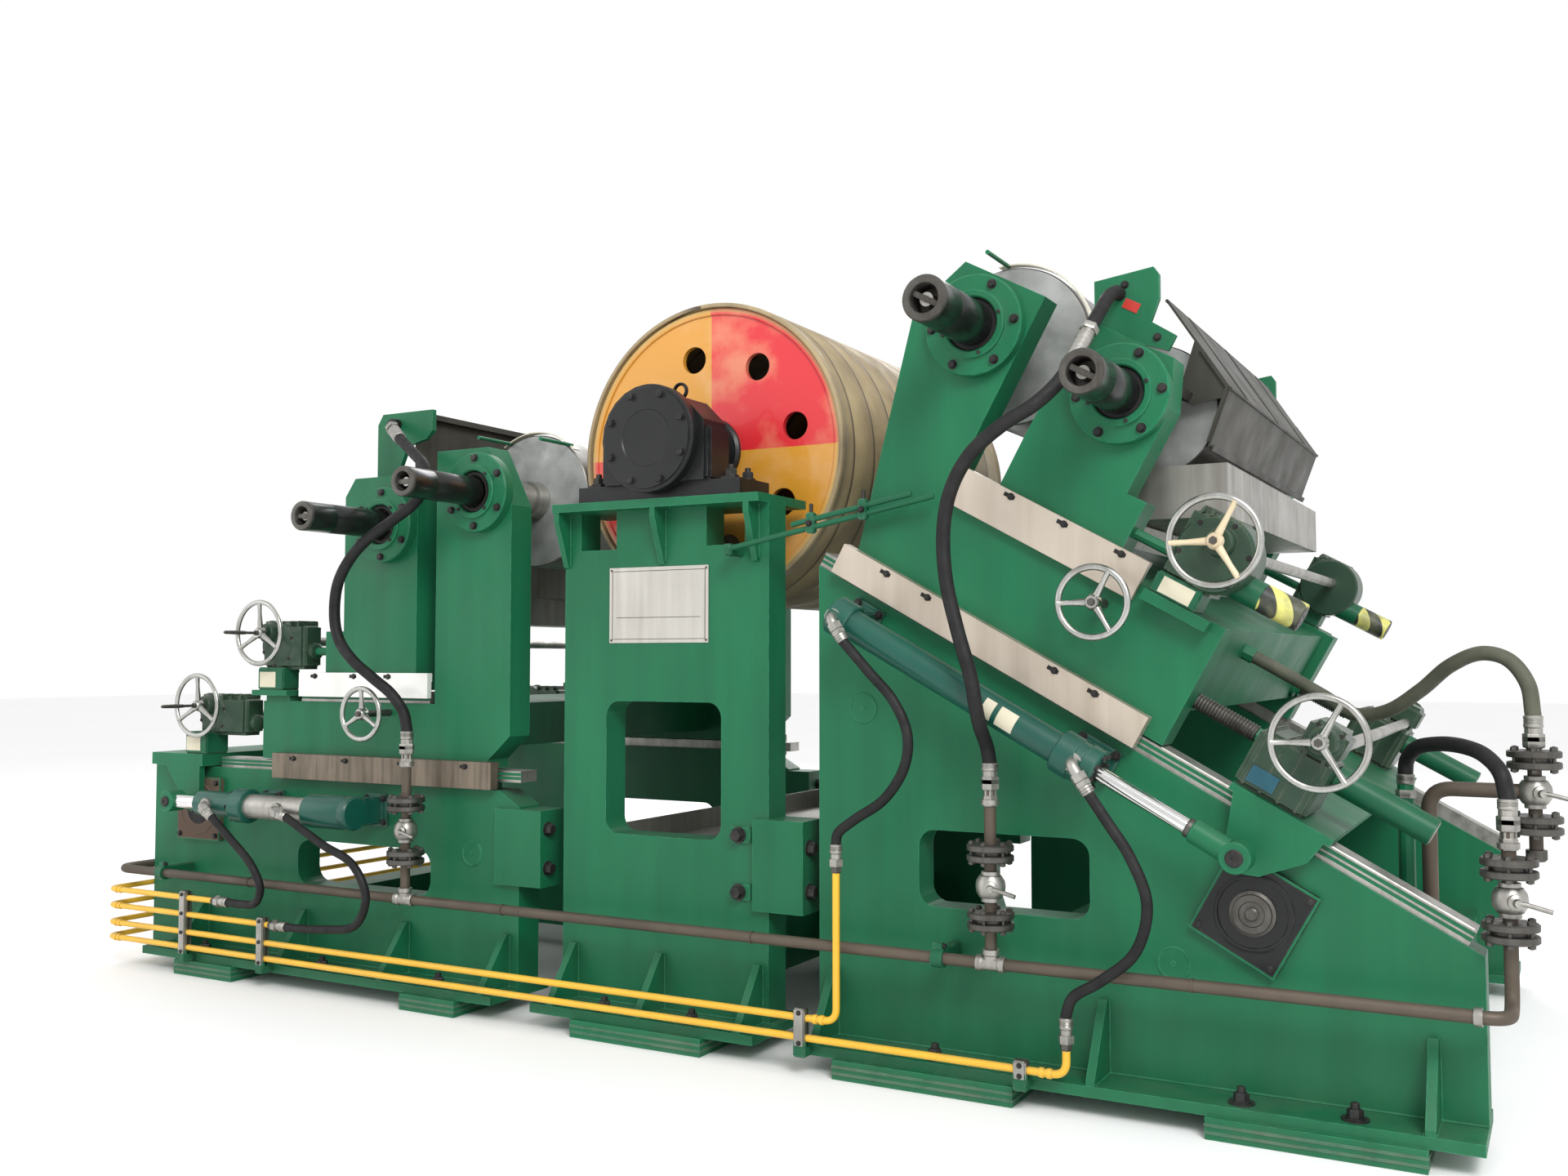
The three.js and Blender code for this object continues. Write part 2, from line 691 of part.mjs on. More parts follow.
function returnStack() {
  const y = at(-1, 300);
  const x = 2545;
  return fuse([
    ...valveBranch(x, y, 720, 797, 967, 1052),
    pipe([[x, y, 882], [2290, y, 882], [2290, y, 300 + fit]], 20, 60),
    bar([x, y, 702], [x, y, 722], 26),
  ]);
}

// Four pressure lines held by clamp blocks that stand on the base flanges.
function hydraulicLines() {
  const y = at(-1, linePlane);
  const left = -2562;
  const r = 11;
  const bend = 40;
  const lines = [
    [[left, 1000, 114], [left, y, 114], [1427, y, 114], [1427, y, 186]],
    [[left, 1000, 172], [left, y, 172], [735, y, 172], [735, y, 620]],
    [[left, 1000, 240], [left, y, 240], [-1637, y, 240]],
    [[left, 1000, 304], [left, y, 304], [-1950, y, 304]],
  ];
  const pieces = lines.map((corners) => pipe(corners, r, bend));
  const clamp = (x, z0, z1) => [
    block(x - 20, x + 20, y - 20, y + 20, z0, z1),
    block(x - 20, x + 20, y - 20, at(-1, -145 - fit), floorGap + 3, z0 + 20),
  ];
  return fuse([
    ...pieces,
    ...clamp(-2104, 88, 330),
    ...clamp(-1671, 88, 265),
    ...clamp(619, 88, 200),
    ...clamp(1300, 88, 140),
    bar([1427, y, 180], [1427, y, 240], 17),
    bar([735, y, 600], [735, y, 662], 17),
    bar([-1960, y, 304], [-1889, y, 304], 17),
    bar([-1645, y, 240], [-1575, y, 240], 17),
  ]);
}

function stayRod() {
  const end = [1000, at(-1, -60), 1712];
  return fuse([
    block(285, 312, at(-1, -85), at(-1, -fit), 1560, 1595),
    bar([300, at(-1, -75), 1580], end, 8, 10),
  ]);
}

// ---- hose routes --------------------------------------------------------------
const feedHose = 20;
const pressureHose = 15;
const leftFeedRoute = [
  [-1003, -1165, 947.6], [-1003, -1165, 975], [-1016, -1171, 1040], [-1062, -1186, 1106],
  [-1130, -1205, 1160], [-1215, -1226, 1228], [-1278, -1230, 1300], [-1302, -1230, 1380],
  [-1290, -1230, 1500], [-1230, -1230, 1592], [-1143, -1230, 1662], [-1030, -1226, 1722],
  [-935, -1212, 1785], [-905, -1190, 1850], [-950, -1150, 1918], [-1058, -1095, 1984],
  [-1176, -1040, 2051], [-1272, -985, 2110], [-1312, -945, 2135], [-1312, -914.6, 2135],
];
const rightFeedRoute = [
  [1198, -1165, 918.6], [1198, -1165, 940], [1198, -1186, 985], [1199, -1240, 1042],
  [1199, -1272, 1100], [1190, -1285, 1180], [1153, -1290, 1313], [1122, -1293, 1450],
  [1116, -1295, 1587], [1140, -1300, 1698], [1198, -1300, 1795], [1292, -1292, 1872],
  [1374, -1275, 1921], [1424, -1243, 1974], [1450, -1190, 2038], [1472, -1130, 2120],
  [1492, -1050, 2210], [1502, -980, 2272], [1512, -945, 2290], [1512, -914.6, 2290],
];
const leftRetractRoute = [
  [-1927.5, -1255, 639.7], [-1907, -1255, 626.6], [-1818, -1250, 558], [-1704, -1240, 459],
  [-1664, -1232, 375], [-1700, -1222, 318], [-1790, -1212, 304], [-1862, -1210, 304],
  [-1888.4, -1210, 304],
];
const leftAdvanceRoute = [
  [-1529.4, -1255, 654.85], [-1506, -1255, 649], [-1322, -1252, 561], [-1179, -1245, 499],
  [-1117, -1240, 389], [-1174, -1230, 284], [-1356, -1218, 250], [-1500, -1210, 240],
  [-1545, -1210, 240], [-1574.4, -1210, 240],
];
const rightRetractRoute = [
  [771.6, -1255, 1299.7], [785, -1255, 1278.9], [868, -1258, 1192], [944, -1258, 1111],
  [986, -1256, 1017], [974, -1250, 925], [905, -1238, 829], [800, -1222, 762],
  [742, -1212, 718], [735, -1210, 690], [735, -1210, 662.5],
];
const rightAdvanceRoute = [
  [1498.6, -1255, 891], [1512, -1255, 869.8], [1560, -1255, 800], [1617, -1255, 716],
  [1660, -1250, 594], [1625, -1240, 466], [1527, -1228, 378], [1446, -1214, 322],
  [1427, -1210, 272], [1427, -1210, 240.5],
];
const returnRoute = [
  [2545, -730, 1052.5], [2545, -730, 1085], [2534, -724, 1165], [2490, -708, 1228],
  [2425, -682, 1246], [2345, -638, 1213], [2263, -580, 1143], [2171, -530, 1082],
  [2077, -480, 1068], [1980, -442, 1122], [1880, -431, 1181], [1808.5, -430, 1222.3],
  [1782.7, -430, 1236.6],
];
const drainRoute = [
  [2492, -1030, 863.5], [2492, -1030, 890], [2478, -1010, 948], [2440, -960, 988],
  [2390, -900, 1005], [2322, -820, 1006], [2262, -745, 988], [2234, -706, 950],
  [2230, -700, 918], [2230, -700, 890.5],
];

// ---- assembly -----------------------------------------------------------------
for (const [end, side] of sides) {
  add(`stand_${end}`, standCheek(side), green);
  add(`drum_bearing_${end}`, drumBearing(side), blackPaint);
  add(`left_frame_${end}`, leftFrame(side), green);
  add(`right_frame_${end}`, rightFrame(side), green);
  add(`drum_end_${end}`, drumEnd(side), drumFace);
  add(`left_carriage_${end}`, leftCarriageCheek(side), green);
  add(`left_slide_${end}`, leftSlideCheek(side), green);
  add(`left_cylinder_${end}`, leftCylinder(side), teal);
  add(`right_carriage_${end}`, rightCarriageCheek(side), green, incline);
  add(`right_slide_${end}`, rightSlideCheek(side), green, incline);
  add(`right_cylinder_${end}`, rightCylinder(side), teal, incline);
}
add('base_girder', baseGirder(), green);
add('drip_tray', dripTray(), sheetSteel);
add('drum_shell', drumShell(), drumSkin);
add('left_carriage_beam', leftCarriageBeam(), green);
add('left_splash_guard', leftSplashGuard(), sheetSteel);
add('left_pan', leftPan(), sheetSteel);
add('left_ram', leftRam(), green);
add('left_upper_jack', leftUpperJack(), jackPaint);
add('left_lower_jack', leftLowerJack(), jackPaint);
add('left_applicator_roll', roll(leftApplicator, applicator, 52, -402), rollSteel);
add('left_pickup_roll', roll(leftPickup, 190, 52, -425), rollSteel);
add('right_carriage_beam', rightCarriageBeam(), green, incline);
add('right_pan', rightPan(), sheetSteel);
add('right_hood', rightHood(), sheetSteel, incline);
add('right_ram', rightRam(), green, incline);
add('right_upper_jack', rightUpperJack(), jackPaint, incline);
add('right_lower_jack', rightLowerJack(), jackPaint, incline);
add('right_applicator_roll', roll(rightApplicator, applicator, 66, -400), rollSteel, incline);
add('right_pickup_roll', roll(rightPickup, 200, 61, -389), rollSteel, incline);
add('supply_header', supplyHeader(), rustyPipe);
add('return_stack', returnStack(), rustyPipe);
add('hydraulic_lines', hydraulicLines(), yellow);
add('stay_rod', stayRod(), green);
add('left_upper_handwheel', handwheel([-1843, 1332], 120, -75, -46, 165), bareSteel);
add('left_lower_handwheel', handwheel([-2194, 1044], 120, -75, -46, 165), bareSteel);
add('left_face_handwheel', handwheel([-1216, 1031], 92, -150, -6), bareSteel);
add('right_upper_handwheel', handwheel([1076, 616], 118, -135, -96), bareSteel, incline);
add('right_face_handwheel', handwheel([860, 320], 97, -120, -6), bareSteel, incline);
add('right_lower_handwheel', handwheel([1548, 282], 117, -135, -96), bareSteel, incline);
add('left_feed_hose', hose(leftFeedRoute, feedHose, 26), hoseRubber);
add('right_feed_hose', hose(rightFeedRoute, feedHose, 26), hoseRubber);
add('left_retract_hose', hose(leftRetractRoute, pressureHose, 13), hoseRubber);
add('left_advance_hose', hose(leftAdvanceRoute, pressureHose, 15), hoseRubber);
add('right_retract_hose', hose(rightRetractRoute, pressureHose, 15), hoseRubber);
add('right_advance_hose', hose(rightAdvanceRoute, pressureHose, 15), hoseRubber);
add('return_hose', hose(returnRoute, feedHose, 18), hoseRubber);
add('drain_hose', hose(drainRoute, feedHose, 12), hoseRubber);

const box = new THREE.Box3();
machine.updateMatrixWorld(true);
machine.traverse((item) => {
  if (item.isMesh && !item.name.endsWith('_hose')) box.expandByObject(item);
});
machine.position.set(-(box.min.x + box.max.x) / 2, -(box.min.y + box.max.y) / 2, -box.min.z);

export default machine;
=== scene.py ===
import json
import math
from functools import partial

import bmesh
import bpy
from mathutils import Matrix, Vector


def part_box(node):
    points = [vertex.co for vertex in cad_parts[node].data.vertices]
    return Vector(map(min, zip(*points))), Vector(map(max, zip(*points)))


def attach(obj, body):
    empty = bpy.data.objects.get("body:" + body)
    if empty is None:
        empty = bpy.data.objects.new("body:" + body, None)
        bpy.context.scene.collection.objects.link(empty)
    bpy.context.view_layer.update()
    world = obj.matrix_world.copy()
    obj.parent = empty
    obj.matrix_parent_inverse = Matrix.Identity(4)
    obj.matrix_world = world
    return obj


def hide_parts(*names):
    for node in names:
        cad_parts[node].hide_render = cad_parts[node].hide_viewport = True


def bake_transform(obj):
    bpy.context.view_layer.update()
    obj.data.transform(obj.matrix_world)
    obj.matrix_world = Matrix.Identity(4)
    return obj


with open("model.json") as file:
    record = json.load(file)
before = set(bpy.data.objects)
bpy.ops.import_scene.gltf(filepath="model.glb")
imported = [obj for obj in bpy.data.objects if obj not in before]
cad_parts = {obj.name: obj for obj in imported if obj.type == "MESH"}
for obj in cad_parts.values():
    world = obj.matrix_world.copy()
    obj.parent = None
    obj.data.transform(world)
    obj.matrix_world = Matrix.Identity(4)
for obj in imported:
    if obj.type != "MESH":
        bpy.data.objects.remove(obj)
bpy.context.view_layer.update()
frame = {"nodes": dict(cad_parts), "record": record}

scene = bpy.context.scene
print("frame loaded:", len(frame["nodes"]), "nodes")

# Millimetres: machine from the stand's middle, floor and centre plane; incline along and off the slope.
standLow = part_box("stand_front")[0]
machine = Matrix.Translation((standLow.x + 0.43, standLow.y + 1.19, 0)) @ Matrix.Scale(0.001, 4)
slopeAngle = math.radians(29)
incline = machine @ Matrix.Translation((586, 0, 1523)) @ Matrix.Rotation(slopeAngle, 4, "Y")
halfDepth = 1030  # centre plane to the outer face of a side frame
drumHeight = 1955  # floor to the drum's axis
ends = (("Front", -1), ("Rear", 1))


# Depths run inward from the outer face of the side frame; side is -1 in front and 1 at the rear.
def depthAt(side, depth):
    return side * (halfDepth - depth)


def depthSpan(side, first, second):
    return sorted((depthAt(side, first), depthAt(side, second)))


def ringSpots(count, radius, first=0):
    for i in range(count):
        angle = math.radians(first + 360 * i / count)
        yield radius * math.cos(angle), radius * math.sin(angle)


# Camera.
cameraSetup = {"place": (2650, -4964, 1230), "turn": 29.1, "tilt": 2.86, "lens": 32.68}
camera = bpy.data.objects.new("camera", bpy.data.cameras.new("camera"))
camera.location = machine @ Vector(cameraSetup["place"])
camera.rotation_euler = (math.radians(90 + cameraSetup["tilt"]), 0, math.radians(cameraSetup["turn"]))
camera.data.lens = cameraSetup["lens"]
camera.data.sensor_width = 36
camera.data.clip_end = 200
scene.collection.objects.link(camera)
scene.camera = camera


# Shapes, each a small bmesh in millimetres.
def blockShape(x0, x1, y0, y1, z0, z1, soften=0, steps=2):
    part = bmesh.new()
    bmesh.ops.create_cube(part, size=1)
    size = (abs(x1 - x0), abs(y1 - y0), abs(z1 - z0))
    bmesh.ops.scale(part, vec=size, verts=part.verts)
    bmesh.ops.translate(part, vec=((x0 + x1) / 2, (y0 + y1) / 2, (z0 + z1) / 2), verts=part.verts)
    return softened(part, soften, steps)


def softened(part, soften, steps=2):
    if soften > 0:
        edges = [e for e in part.edges if e.is_manifold and e.calc_face_angle(0) > 0.5]
        bmesh.ops.bevel(part, geom=edges, offset=soften, segments=steps, affect="EDGES", clamp_overlap=True)
    return part


def drawnShape(corners, shift, soften=0):
    part = bmesh.new()
    near = [part.verts.new(corner) for corner in corners]
    far = [part.verts.new(Vector(corner) + Vector(shift)) for corner in corners]
    part.faces.new(near)
    part.faces.new(far)
    for i, corner in enumerate(near):
        part.faces.new((near[i - 1], corner, far[i], far[i - 1]))
    bmesh.ops.recalc_face_normals(part, faces=part.faces)
    return softened(part, soften)


# Outline in length and height, drawn out in depth.
def slabShape(outline, y0, y1, soften=0):
    low = min(y0, y1)
    return drawnShape([(x, low, z) for x, z in outline], (0, max(y0, y1) - low, 0), soften)


# Outline in depth and height on one side, drawn out along X.
def profileShape(side, outline, x0, x1, soften=0):
    return drawnShape([(x0, depthAt(side, d), z) for d, z in outline], (x1 - x0, 0, 0), soften)


def turnTo(direction):
    return Vector((0, 0, 1)).rotation_difference(Vector(direction).normalized()).to_matrix().to_4x4()


# Outline of (radius, height) turned about an axis from the origin point.
def turnedShape(origin, direction, outline, segments=48, sweep=360, start=0):
    part = bmesh.new()
    whole = sweep >= 360
    count = segments if whole else segments + 1
    rings = []
    for radius, height in outline:
        if radius < 1e-6:
            rings.append([part.verts.new((0, 0, height))] * count)
            continue
        angles = [math.radians(start + sweep * i / segments) for i in range(count)]
        rings.append([part.verts.new((radius * math.cos(a), radius * math.sin(a), height)) for a in angles])
    for lower, upper in zip(rings, rings[1:]):
        for i in range(count if whole else count - 1):
            j = (i + 1) % count
            corners = []
            for vert in (lower[i], lower[j], upper[j], upper[i]):
                if vert not in corners:
                    corners.append(vert)
            if len(corners) > 2:
                part.faces.new(corners)
    if not whole:
        part.faces.new([ring[0] for ring in rings[:-1]])
        part.faces.new([ring[-1] for ring in rings[:-1]])
    bmesh.ops.remove_doubles(part, verts=part.verts, dist=1e-4)
    bmesh.ops.recalc_face_normals(part, faces=part.faces)
    bmesh.ops.transform(part, matrix=Matrix.Translation(origin) @ turnTo(direction), verts=part.verts)
    return part


# Round bar with softened ends.
def rodShape(start, finish, radius, segments=32, edge=2):
    axis = Vector(finish) - Vector(start)
    length = axis.length
    outline = [(0, 0), (radius - edge, 0), (radius, edge), (radius, length - edge), (radius - edge, length),
        (0, length)]
    return turnedShape(start, axis, outline, segments)


# Corners joined by straight runs and arcs of one bend size.
def bentPath(corners, bend, steps=8):
    points = [Vector(corners[0])]
    for before, corner, after in zip(corners, corners[1:], corners[2:]):
        corner = Vector(corner)
        start = corner + (Vector(before) - corner).normalized() * bend
        finish = corner + (Vector(after) - corner).normalized() * bend
        for i in range(steps + 1):
            t = i / steps
            points.append(start * (1 - t) ** 2 + corner * 2 * t * (1 - t) + finish * t ** 2)
    points.append(Vector(corners[-1]))
    return points


def tubeShape(points, radius, sides=20):
    part = bmesh.new()
    points = [Vector(p) for p in points]
    tangents = [(b - a).normalized() for a, b in zip(points, points[1:])]
    across = tangents[0].orthogonal().normalized()
    rings = []
    for i, point in enumerate(points):
        into = tangents[max(i - 1, 0)]
        out = tangents[min(i, len(tangents) - 1)]
        tangent = (into + out).normalized()
        across = (across - tangent * across.dot(tangent)).normalized()
        other = tangent.cross(across)
        angles = [2 * math.pi * k / sides for k in range(sides)]
        rings.append([part.verts.new(point + (across * math.cos(a) + other * math.sin(
            a)) * radius) for a in angles])
    for lower, upper in zip(rings, rings[1:]):
        for k in range(sides):
            part.faces.new((lower[k], lower[(k + 1) % sides], upper[(k + 1) % sides], upper[k]))
    part.faces.new(list(reversed(rings[0])))
    part.faces.new(rings[-1])
    bmesh.ops.recalc_face_normals(part, faces=part.faces)
    return part


# Hexagon head on a washer; size is the width across flats.
def boltShape(origin, direction, size, height=None):
    height = height or 0.62 * size
    corner = size / math.sqrt(3)
    head = turnedShape(origin, direction, [(0, 0), (corner, 0), (corner, 0.8 * height),
        (0.84 * corner, height), (0, height)], 6)
    washer = turnedShape(origin, direction, [(0, 0), (1.22 * corner, 0), (1.22 * corner, 0.16 * height),
        (0, 0.16 * height)], 20)
    return joined(head, washer)


def joined(*parts):
    piece = bmesh.new()
    for part in parts:
        addPart(piece, part, None)
    return piece


def addPart(piece, part, finishIndex=0):
    if finishIndex is not None:
        for face in part.faces:
            face.material_index = finishIndex
    mesh = bpy.data.meshes.new("part")
    part.to_mesh(mesh)
    part.free()
    piece.from_mesh(mesh)
    bpy.data.meshes.remove(mesh)


def addTurned(piece, finishIndex, *sizes):
    addPart(piece, turnedShape(*sizes), finishIndex)


def addBlock(piece, finishIndex, *sizes):
    addPart(piece, blockShape(*sizes), finishIndex)


def addRod(piece, finishIndex, *sizes):
    addPart(piece, rodShape(*sizes), finishIndex)


def addTube(piece, finishIndex, *sizes):
    addPart(piece, tubeShape(*sizes), finishIndex)


def addBolt(piece, finishIndex, *sizes):
    addPart(piece, boltShape(*sizes), finishIndex)


def makePiece(name, piece, place, body, finishes, stands=(), sharp=32):
    bmesh.ops.transform(piece, matrix=place, verts=piece.verts)
    mesh = bpy.data.meshes.new(name)
    piece.to_mesh(mesh)
    piece.free()
    for face in mesh.polygons:
        face.use_smooth = True
    mesh.set_sharp_from_angle(angle=math.radians(sharp))
    for finish in finishes:
        mesh.materials.append(finish)
    item = bpy.data.objects.new(name, mesh)
    scene.collection.objects.link(item)
    if body:
        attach(item, body)
    if stands:
        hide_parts(*stands)
    return item


# Shader groups shared by the finishes.
def newGroup(name, inputs, outputs):
    group = bpy.data.node_groups.new(name, "ShaderNodeTree")
    for label, value in inputs:
        socket = group.interface.new_socket(name=label, in_out="INPUT", socket_type="NodeSocketFloat")
        socket.default_value = value
    for label, kind in outputs:
        group.interface.new_socket(name=label, in_out="OUTPUT", socket_type=kind)
    nodes = group.nodes
    return group, nodes, group.links, nodes.new("NodeGroupInput"), nodes.new("NodeGroupOutput")


def mathNode(nodes, links, operation, first, second=None, clamp=False):
    node = nodes.new("ShaderNodeMath")
    node.operation = operation
    node.use_clamp = clamp
    for socket, value in zip(node.inputs, (first, second)):
        if value is None:
            continue
        if isinstance(value, (int, float)):
            socket.default_value = value
        else:
            links.new(value, socket)
    return node.outputs[0]


def objectPoints(nodes, links, stretch=(1, 1, 1)):
    points = nodes.new("ShaderNodeTexCoord").outputs["Object"]
    if stretch == (1, 1, 1):
        return points
    mapping = nodes.new("ShaderNodeMapping")
    mapping.inputs["Scale"].default_value = stretch
    links.new(points, mapping.inputs["Vector"])
    return mapping.outputs["Vector"]


def noiseValue(nodes, links, given, detail, stretch=(1, 1, 1)):
    noise = nodes.new("ShaderNodeTexNoise")
    noise.inputs["Detail"].default_value = detail
    links.new(objectPoints(nodes, links, stretch), noise.inputs["Vector"])
    links.new(given.outputs["Scale"], noise.inputs["Scale"])
    return noise.outputs["Fac"]


# Paint rubbed off where the surface turns sharply.
def buildEdgeWear():
    group, nodes, links, given, result = newGroup("edgeWear", [("Radius", 0.004), ("Amount", 5),
        ("Scale", 30)], [("Mask", "NodeSocketFloat")])
    calc = partial(mathNode, nodes, links)
    bevel = nodes.new("ShaderNodeBevel")
    bevel.samples = 4
    links.new(given.outputs["Radius"], bevel.inputs["Radius"])
    dot = nodes.new("ShaderNodeVectorMath")
    dot.operation = "DOT_PRODUCT"
    links.new(bevel.outputs["Normal"], dot.inputs[0])
    links.new(nodes.new("ShaderNodeNewGeometry").outputs["Normal"], dot.inputs[1])
    edge = calc("SUBTRACT", 1.0, dot.outputs["Value"])
    noise = noiseValue(nodes, links, given, 5)
    broken = calc("MULTIPLY", calc("SUBTRACT", noise, 0.38), 3.2, True)
    strong = calc("MULTIPLY", edge, given.outputs["Amount"])
    links.new(calc("MULTIPLY", strong, broken, True), result.inputs["Mask"])
    return group


# Clouds in the colour, mixed with streaks that run down.
def buildMottle():
    group, nodes, links, given, result = newGroup("mottle", [("Scale", 3), ("Low", 0.35), ("High", 0.7),
        ("Streak", 0)], [("Mask", "NodeSocketFloat")])
    cloud = noiseValue(nodes, links, given, 6)
    runs = noiseValue(nodes, links, given, 4, (9, 9, 0.7))
    mix = nodes.new("ShaderNodeMix")
    links.new(given.outputs["Streak"], mix.inputs["Factor"])
    links.new(cloud, mix.inputs["A"])
    links.new(runs, mix.inputs["B"])
    remap = nodes.new("ShaderNodeMapRange")
    links.new(mix.outputs["Result"], remap.inputs["Value"])
    links.new(given.outputs["Low"], remap.inputs["From Min"])
    links.new(given.outputs["High"], remap.inputs["From Max"])
    links.new(remap.outputs["Result"], result.inputs["Mask"])
    return group


# Fine unevenness of the surface.
def buildSurfaceBump():
    group, nodes, links, given, result = newGroup("surfaceBump", [("Scale", 60), ("Strength", 0.15),
        ("Distance", 0.002)], [("Normal", "NodeSocketVector")])
    noise = noiseValue(nodes, links, given, 4)
    bump = nodes.new("ShaderNodeBump")
    links.new(given.outputs["Strength"], bump.inputs["Strength"])
    links.new(given.outputs["Distance"], bump.inputs["Distance"])
    links.new(noise, bump.inputs["Height"])
    links.new(bump.outputs["Normal"], result.inputs["Normal"])
    return group


# Dust lies on faces that look up and gathers near the floor; ambient occlusion adds painted shade in
# corners and crevices.
def buildDustAndCornerShade():
    group, nodes, links, given, result = newGroup("settledDustAndCornerShade", [("Amount", 0.5), ("Scale", 7)],
        [("Mask", "NodeSocketFloat")])
    calc = partial(mathNode, nodes, links)
    normal = nodes.new("ShaderNodeSeparateXYZ")
    links.new(nodes.new("ShaderNodeNewGeometry").outputs["Normal"], normal.inputs[0])
    up = calc("MULTIPLY", calc("SUBTRACT", normal.outputs["Z"], 0.35), 1.3, True)
    place = nodes.new("ShaderNodeSeparateXYZ")
    links.new(objectPoints(nodes, links), place.inputs[0])
    low = calc("SUBTRACT", 0.55, calc("MULTIPLY", place.outputs["Z"], 1.4), True)
    # Painted shade: ambient occlusion raises the mask in corners and crevices, where shade falls.
    hollow = nodes.new("ShaderNodeAmbientOcclusion")
    hollow.samples = 4
    hollow.inputs["Distance"].default_value = 0.09
    corner = calc("MULTIPLY", calc("SUBTRACT", 1.0, hollow.outputs["AO"]), 0.8, True)
    noise = noiseValue(nodes, links, given, 7)
    patch = calc("MULTIPLY", calc("SUBTRACT", noise, 0.3), 2.2, True)
    total = calc("ADD", calc("ADD", up, calc("MULTIPLY", low, 0.5)), corner)
    shared = calc("MULTIPLY", total, patch)
    links.new(calc("MULTIPLY", shared, given.outputs["Amount"], True), result.inputs["Mask"])
    return group


groups = {"wear": buildEdgeWear(), "mottle": buildMottle(), "bump": buildSurfaceBump(), "dustAndCornerShade": buildDustAndCornerShade()}


# Finishes.
def startFinish(name):
    material = bpy.data.materials.new(name)
    material.use_nodes = True
    nodes = material.node_tree.nodes
    return material, nodes, material.node_tree.links, nodes["Principled BSDF"]


def placeGroup(nodes, kind, **values):
    node = nodes.new("ShaderNodeGroup")
    node.node_tree = groups[kind]
    for label, value in values.items():
        node.inputs[label].default_value = value
    return node.outputs[0]


def blendColours(nodes, links, mask, first, second):
    mix = nodes.new("ShaderNodeMix")
    mix.data_type = "RGBA"
    sockets = [s for s in mix.inputs if s.enabled]
    links.new(mask, sockets[0])
    for socket, value in zip(sockets[1:], (first, second)):
        if isinstance(value, tuple):
            socket.default_value = (*value, 1)
        else:
            links.new(value, socket)
    return next(s for s in mix.outputs if s.enabled)


def blendValues(nodes, links, mask, low, high):
    remap = nodes.new("ShaderNodeMapRange")
    links.new(mask, remap.inputs["Value"])
    remap.inputs["To Min"].default_value = low
    remap.inputs["To Max"].default_value = high
    return remap.outputs["Result"]


def paintFinish(name, base, shade, wear, dustAndCornerShade, roughness=(0.3, 0.5), wearAmount=5, dustAndShadeAmount=0.5, metal=0,
        coat=0.3, grain=0.12):
    material, nodes, links, shader = startFinish(name)
    colour = blendColours(nodes, links, placeGroup(nodes, "mottle", Scale=1.3, Low=0.3, High=0.72,
        Streak=0.45), base, shade)
    # Dust on faces that look up, with painted shade in corners and crevices.
    colour = blendColours(nodes, links, placeGroup(nodes, "dustAndCornerShade", Amount=dustAndShadeAmount), colour, dustAndCornerShade)
    colour = blendColours(nodes, links, placeGroup(nodes, "wear", Amount=wearAmount), colour, wear)
    links.new(colour, shader.inputs["Base Color"])
    rough = blendValues(nodes, links, placeGroup(nodes, "mottle", Scale=5, Low=0.3, High=0.7), *roughness)
    links.new(rough, shader.inputs["Roughness"])
    links.new(placeGroup(nodes, "bump", Scale=45, Strength=grain), shader.inputs["Normal"])
    shader.inputs["Metallic"].default_value = metal
    shader.inputs["Coat Weight"].default_value = coat
    shader.inputs["Coat Roughness"].default_value = 0.25
    shader.inputs["Specular IOR Level"].default_value = 0.28
    return material


def metalFinish(name, base, stain, roughness=(0.2, 0.45), scale=4, streak=0.3, metal=0.9, grain=0.08,
        low=0.42, high=0.75):
    material, nodes, links, shader = startFinish(name)
    colour = blendColours(nodes, links, placeGroup(nodes, "mottle", Scale=scale, Low=low, High=high,
        Streak=streak), base, stain)
    # Dust on faces that look up, with painted shade in corners and crevices.
    colour = blendColours(nodes, links, placeGroup(nodes, "dustAndCornerShade", Amount=0.35), colour,
        tuple(0.5 * c + 0.12 for c in stain))
    links.new(colour, shader.inputs["Base Color"])
    rough = blendValues(nodes, links, placeGroup(nodes, "mottle", Scale=3 * scale, Low=0.3, High=0.7),
        *roughness)
    links.new(rough, shader.inputs["Roughness"])
    links.new(placeGroup(nodes, "bump", Scale=110, Strength=grain, Distance=0.001), shader.inputs["Normal"])
    shader.inputs["Metallic"].default_value = metal
    return material


# Dust colour, also painted into corners and crevices as shade.
dustAndShadeColour = (0.20, 0.19, 0.15)
green = paintFinish("machineGreen", (0.006, 0.142, 0.060), (0.004, 0.092, 0.038), (0.04, 0.27, 0.14),
    (0.12, 0.15, 0.11), (0.42, 0.6), dustAndShadeAmount=0.3, coat=0.08)
greenSmall = paintFinish("fittingGreen", (0.005, 0.105, 0.046), (0.004, 0.075, 0.034), (0.08, 0.21, 0.13),
    (0.12, 0.14, 0.10), (0.42, 0.6), dustAndShadeAmount=0.3, coat=0.08)
teal = paintFinish("cylinderTeal", (0.004, 0.082, 0.055), (0.004, 0.055, 0.040), (0.12, 0.21, 0.16),
    (0.12, 0.14, 0.11), dustAndShadeAmount=0.25, coat=0.3)
black = paintFinish("housingBlack", (0.004, 0.0045, 0.005), (0.009, 0.0095, 0.010), (0.06, 0.06, 0.058),
    (0.07, 0.068, 0.06), (0.3, 0.5), 3, 0.15, coat=0.15)
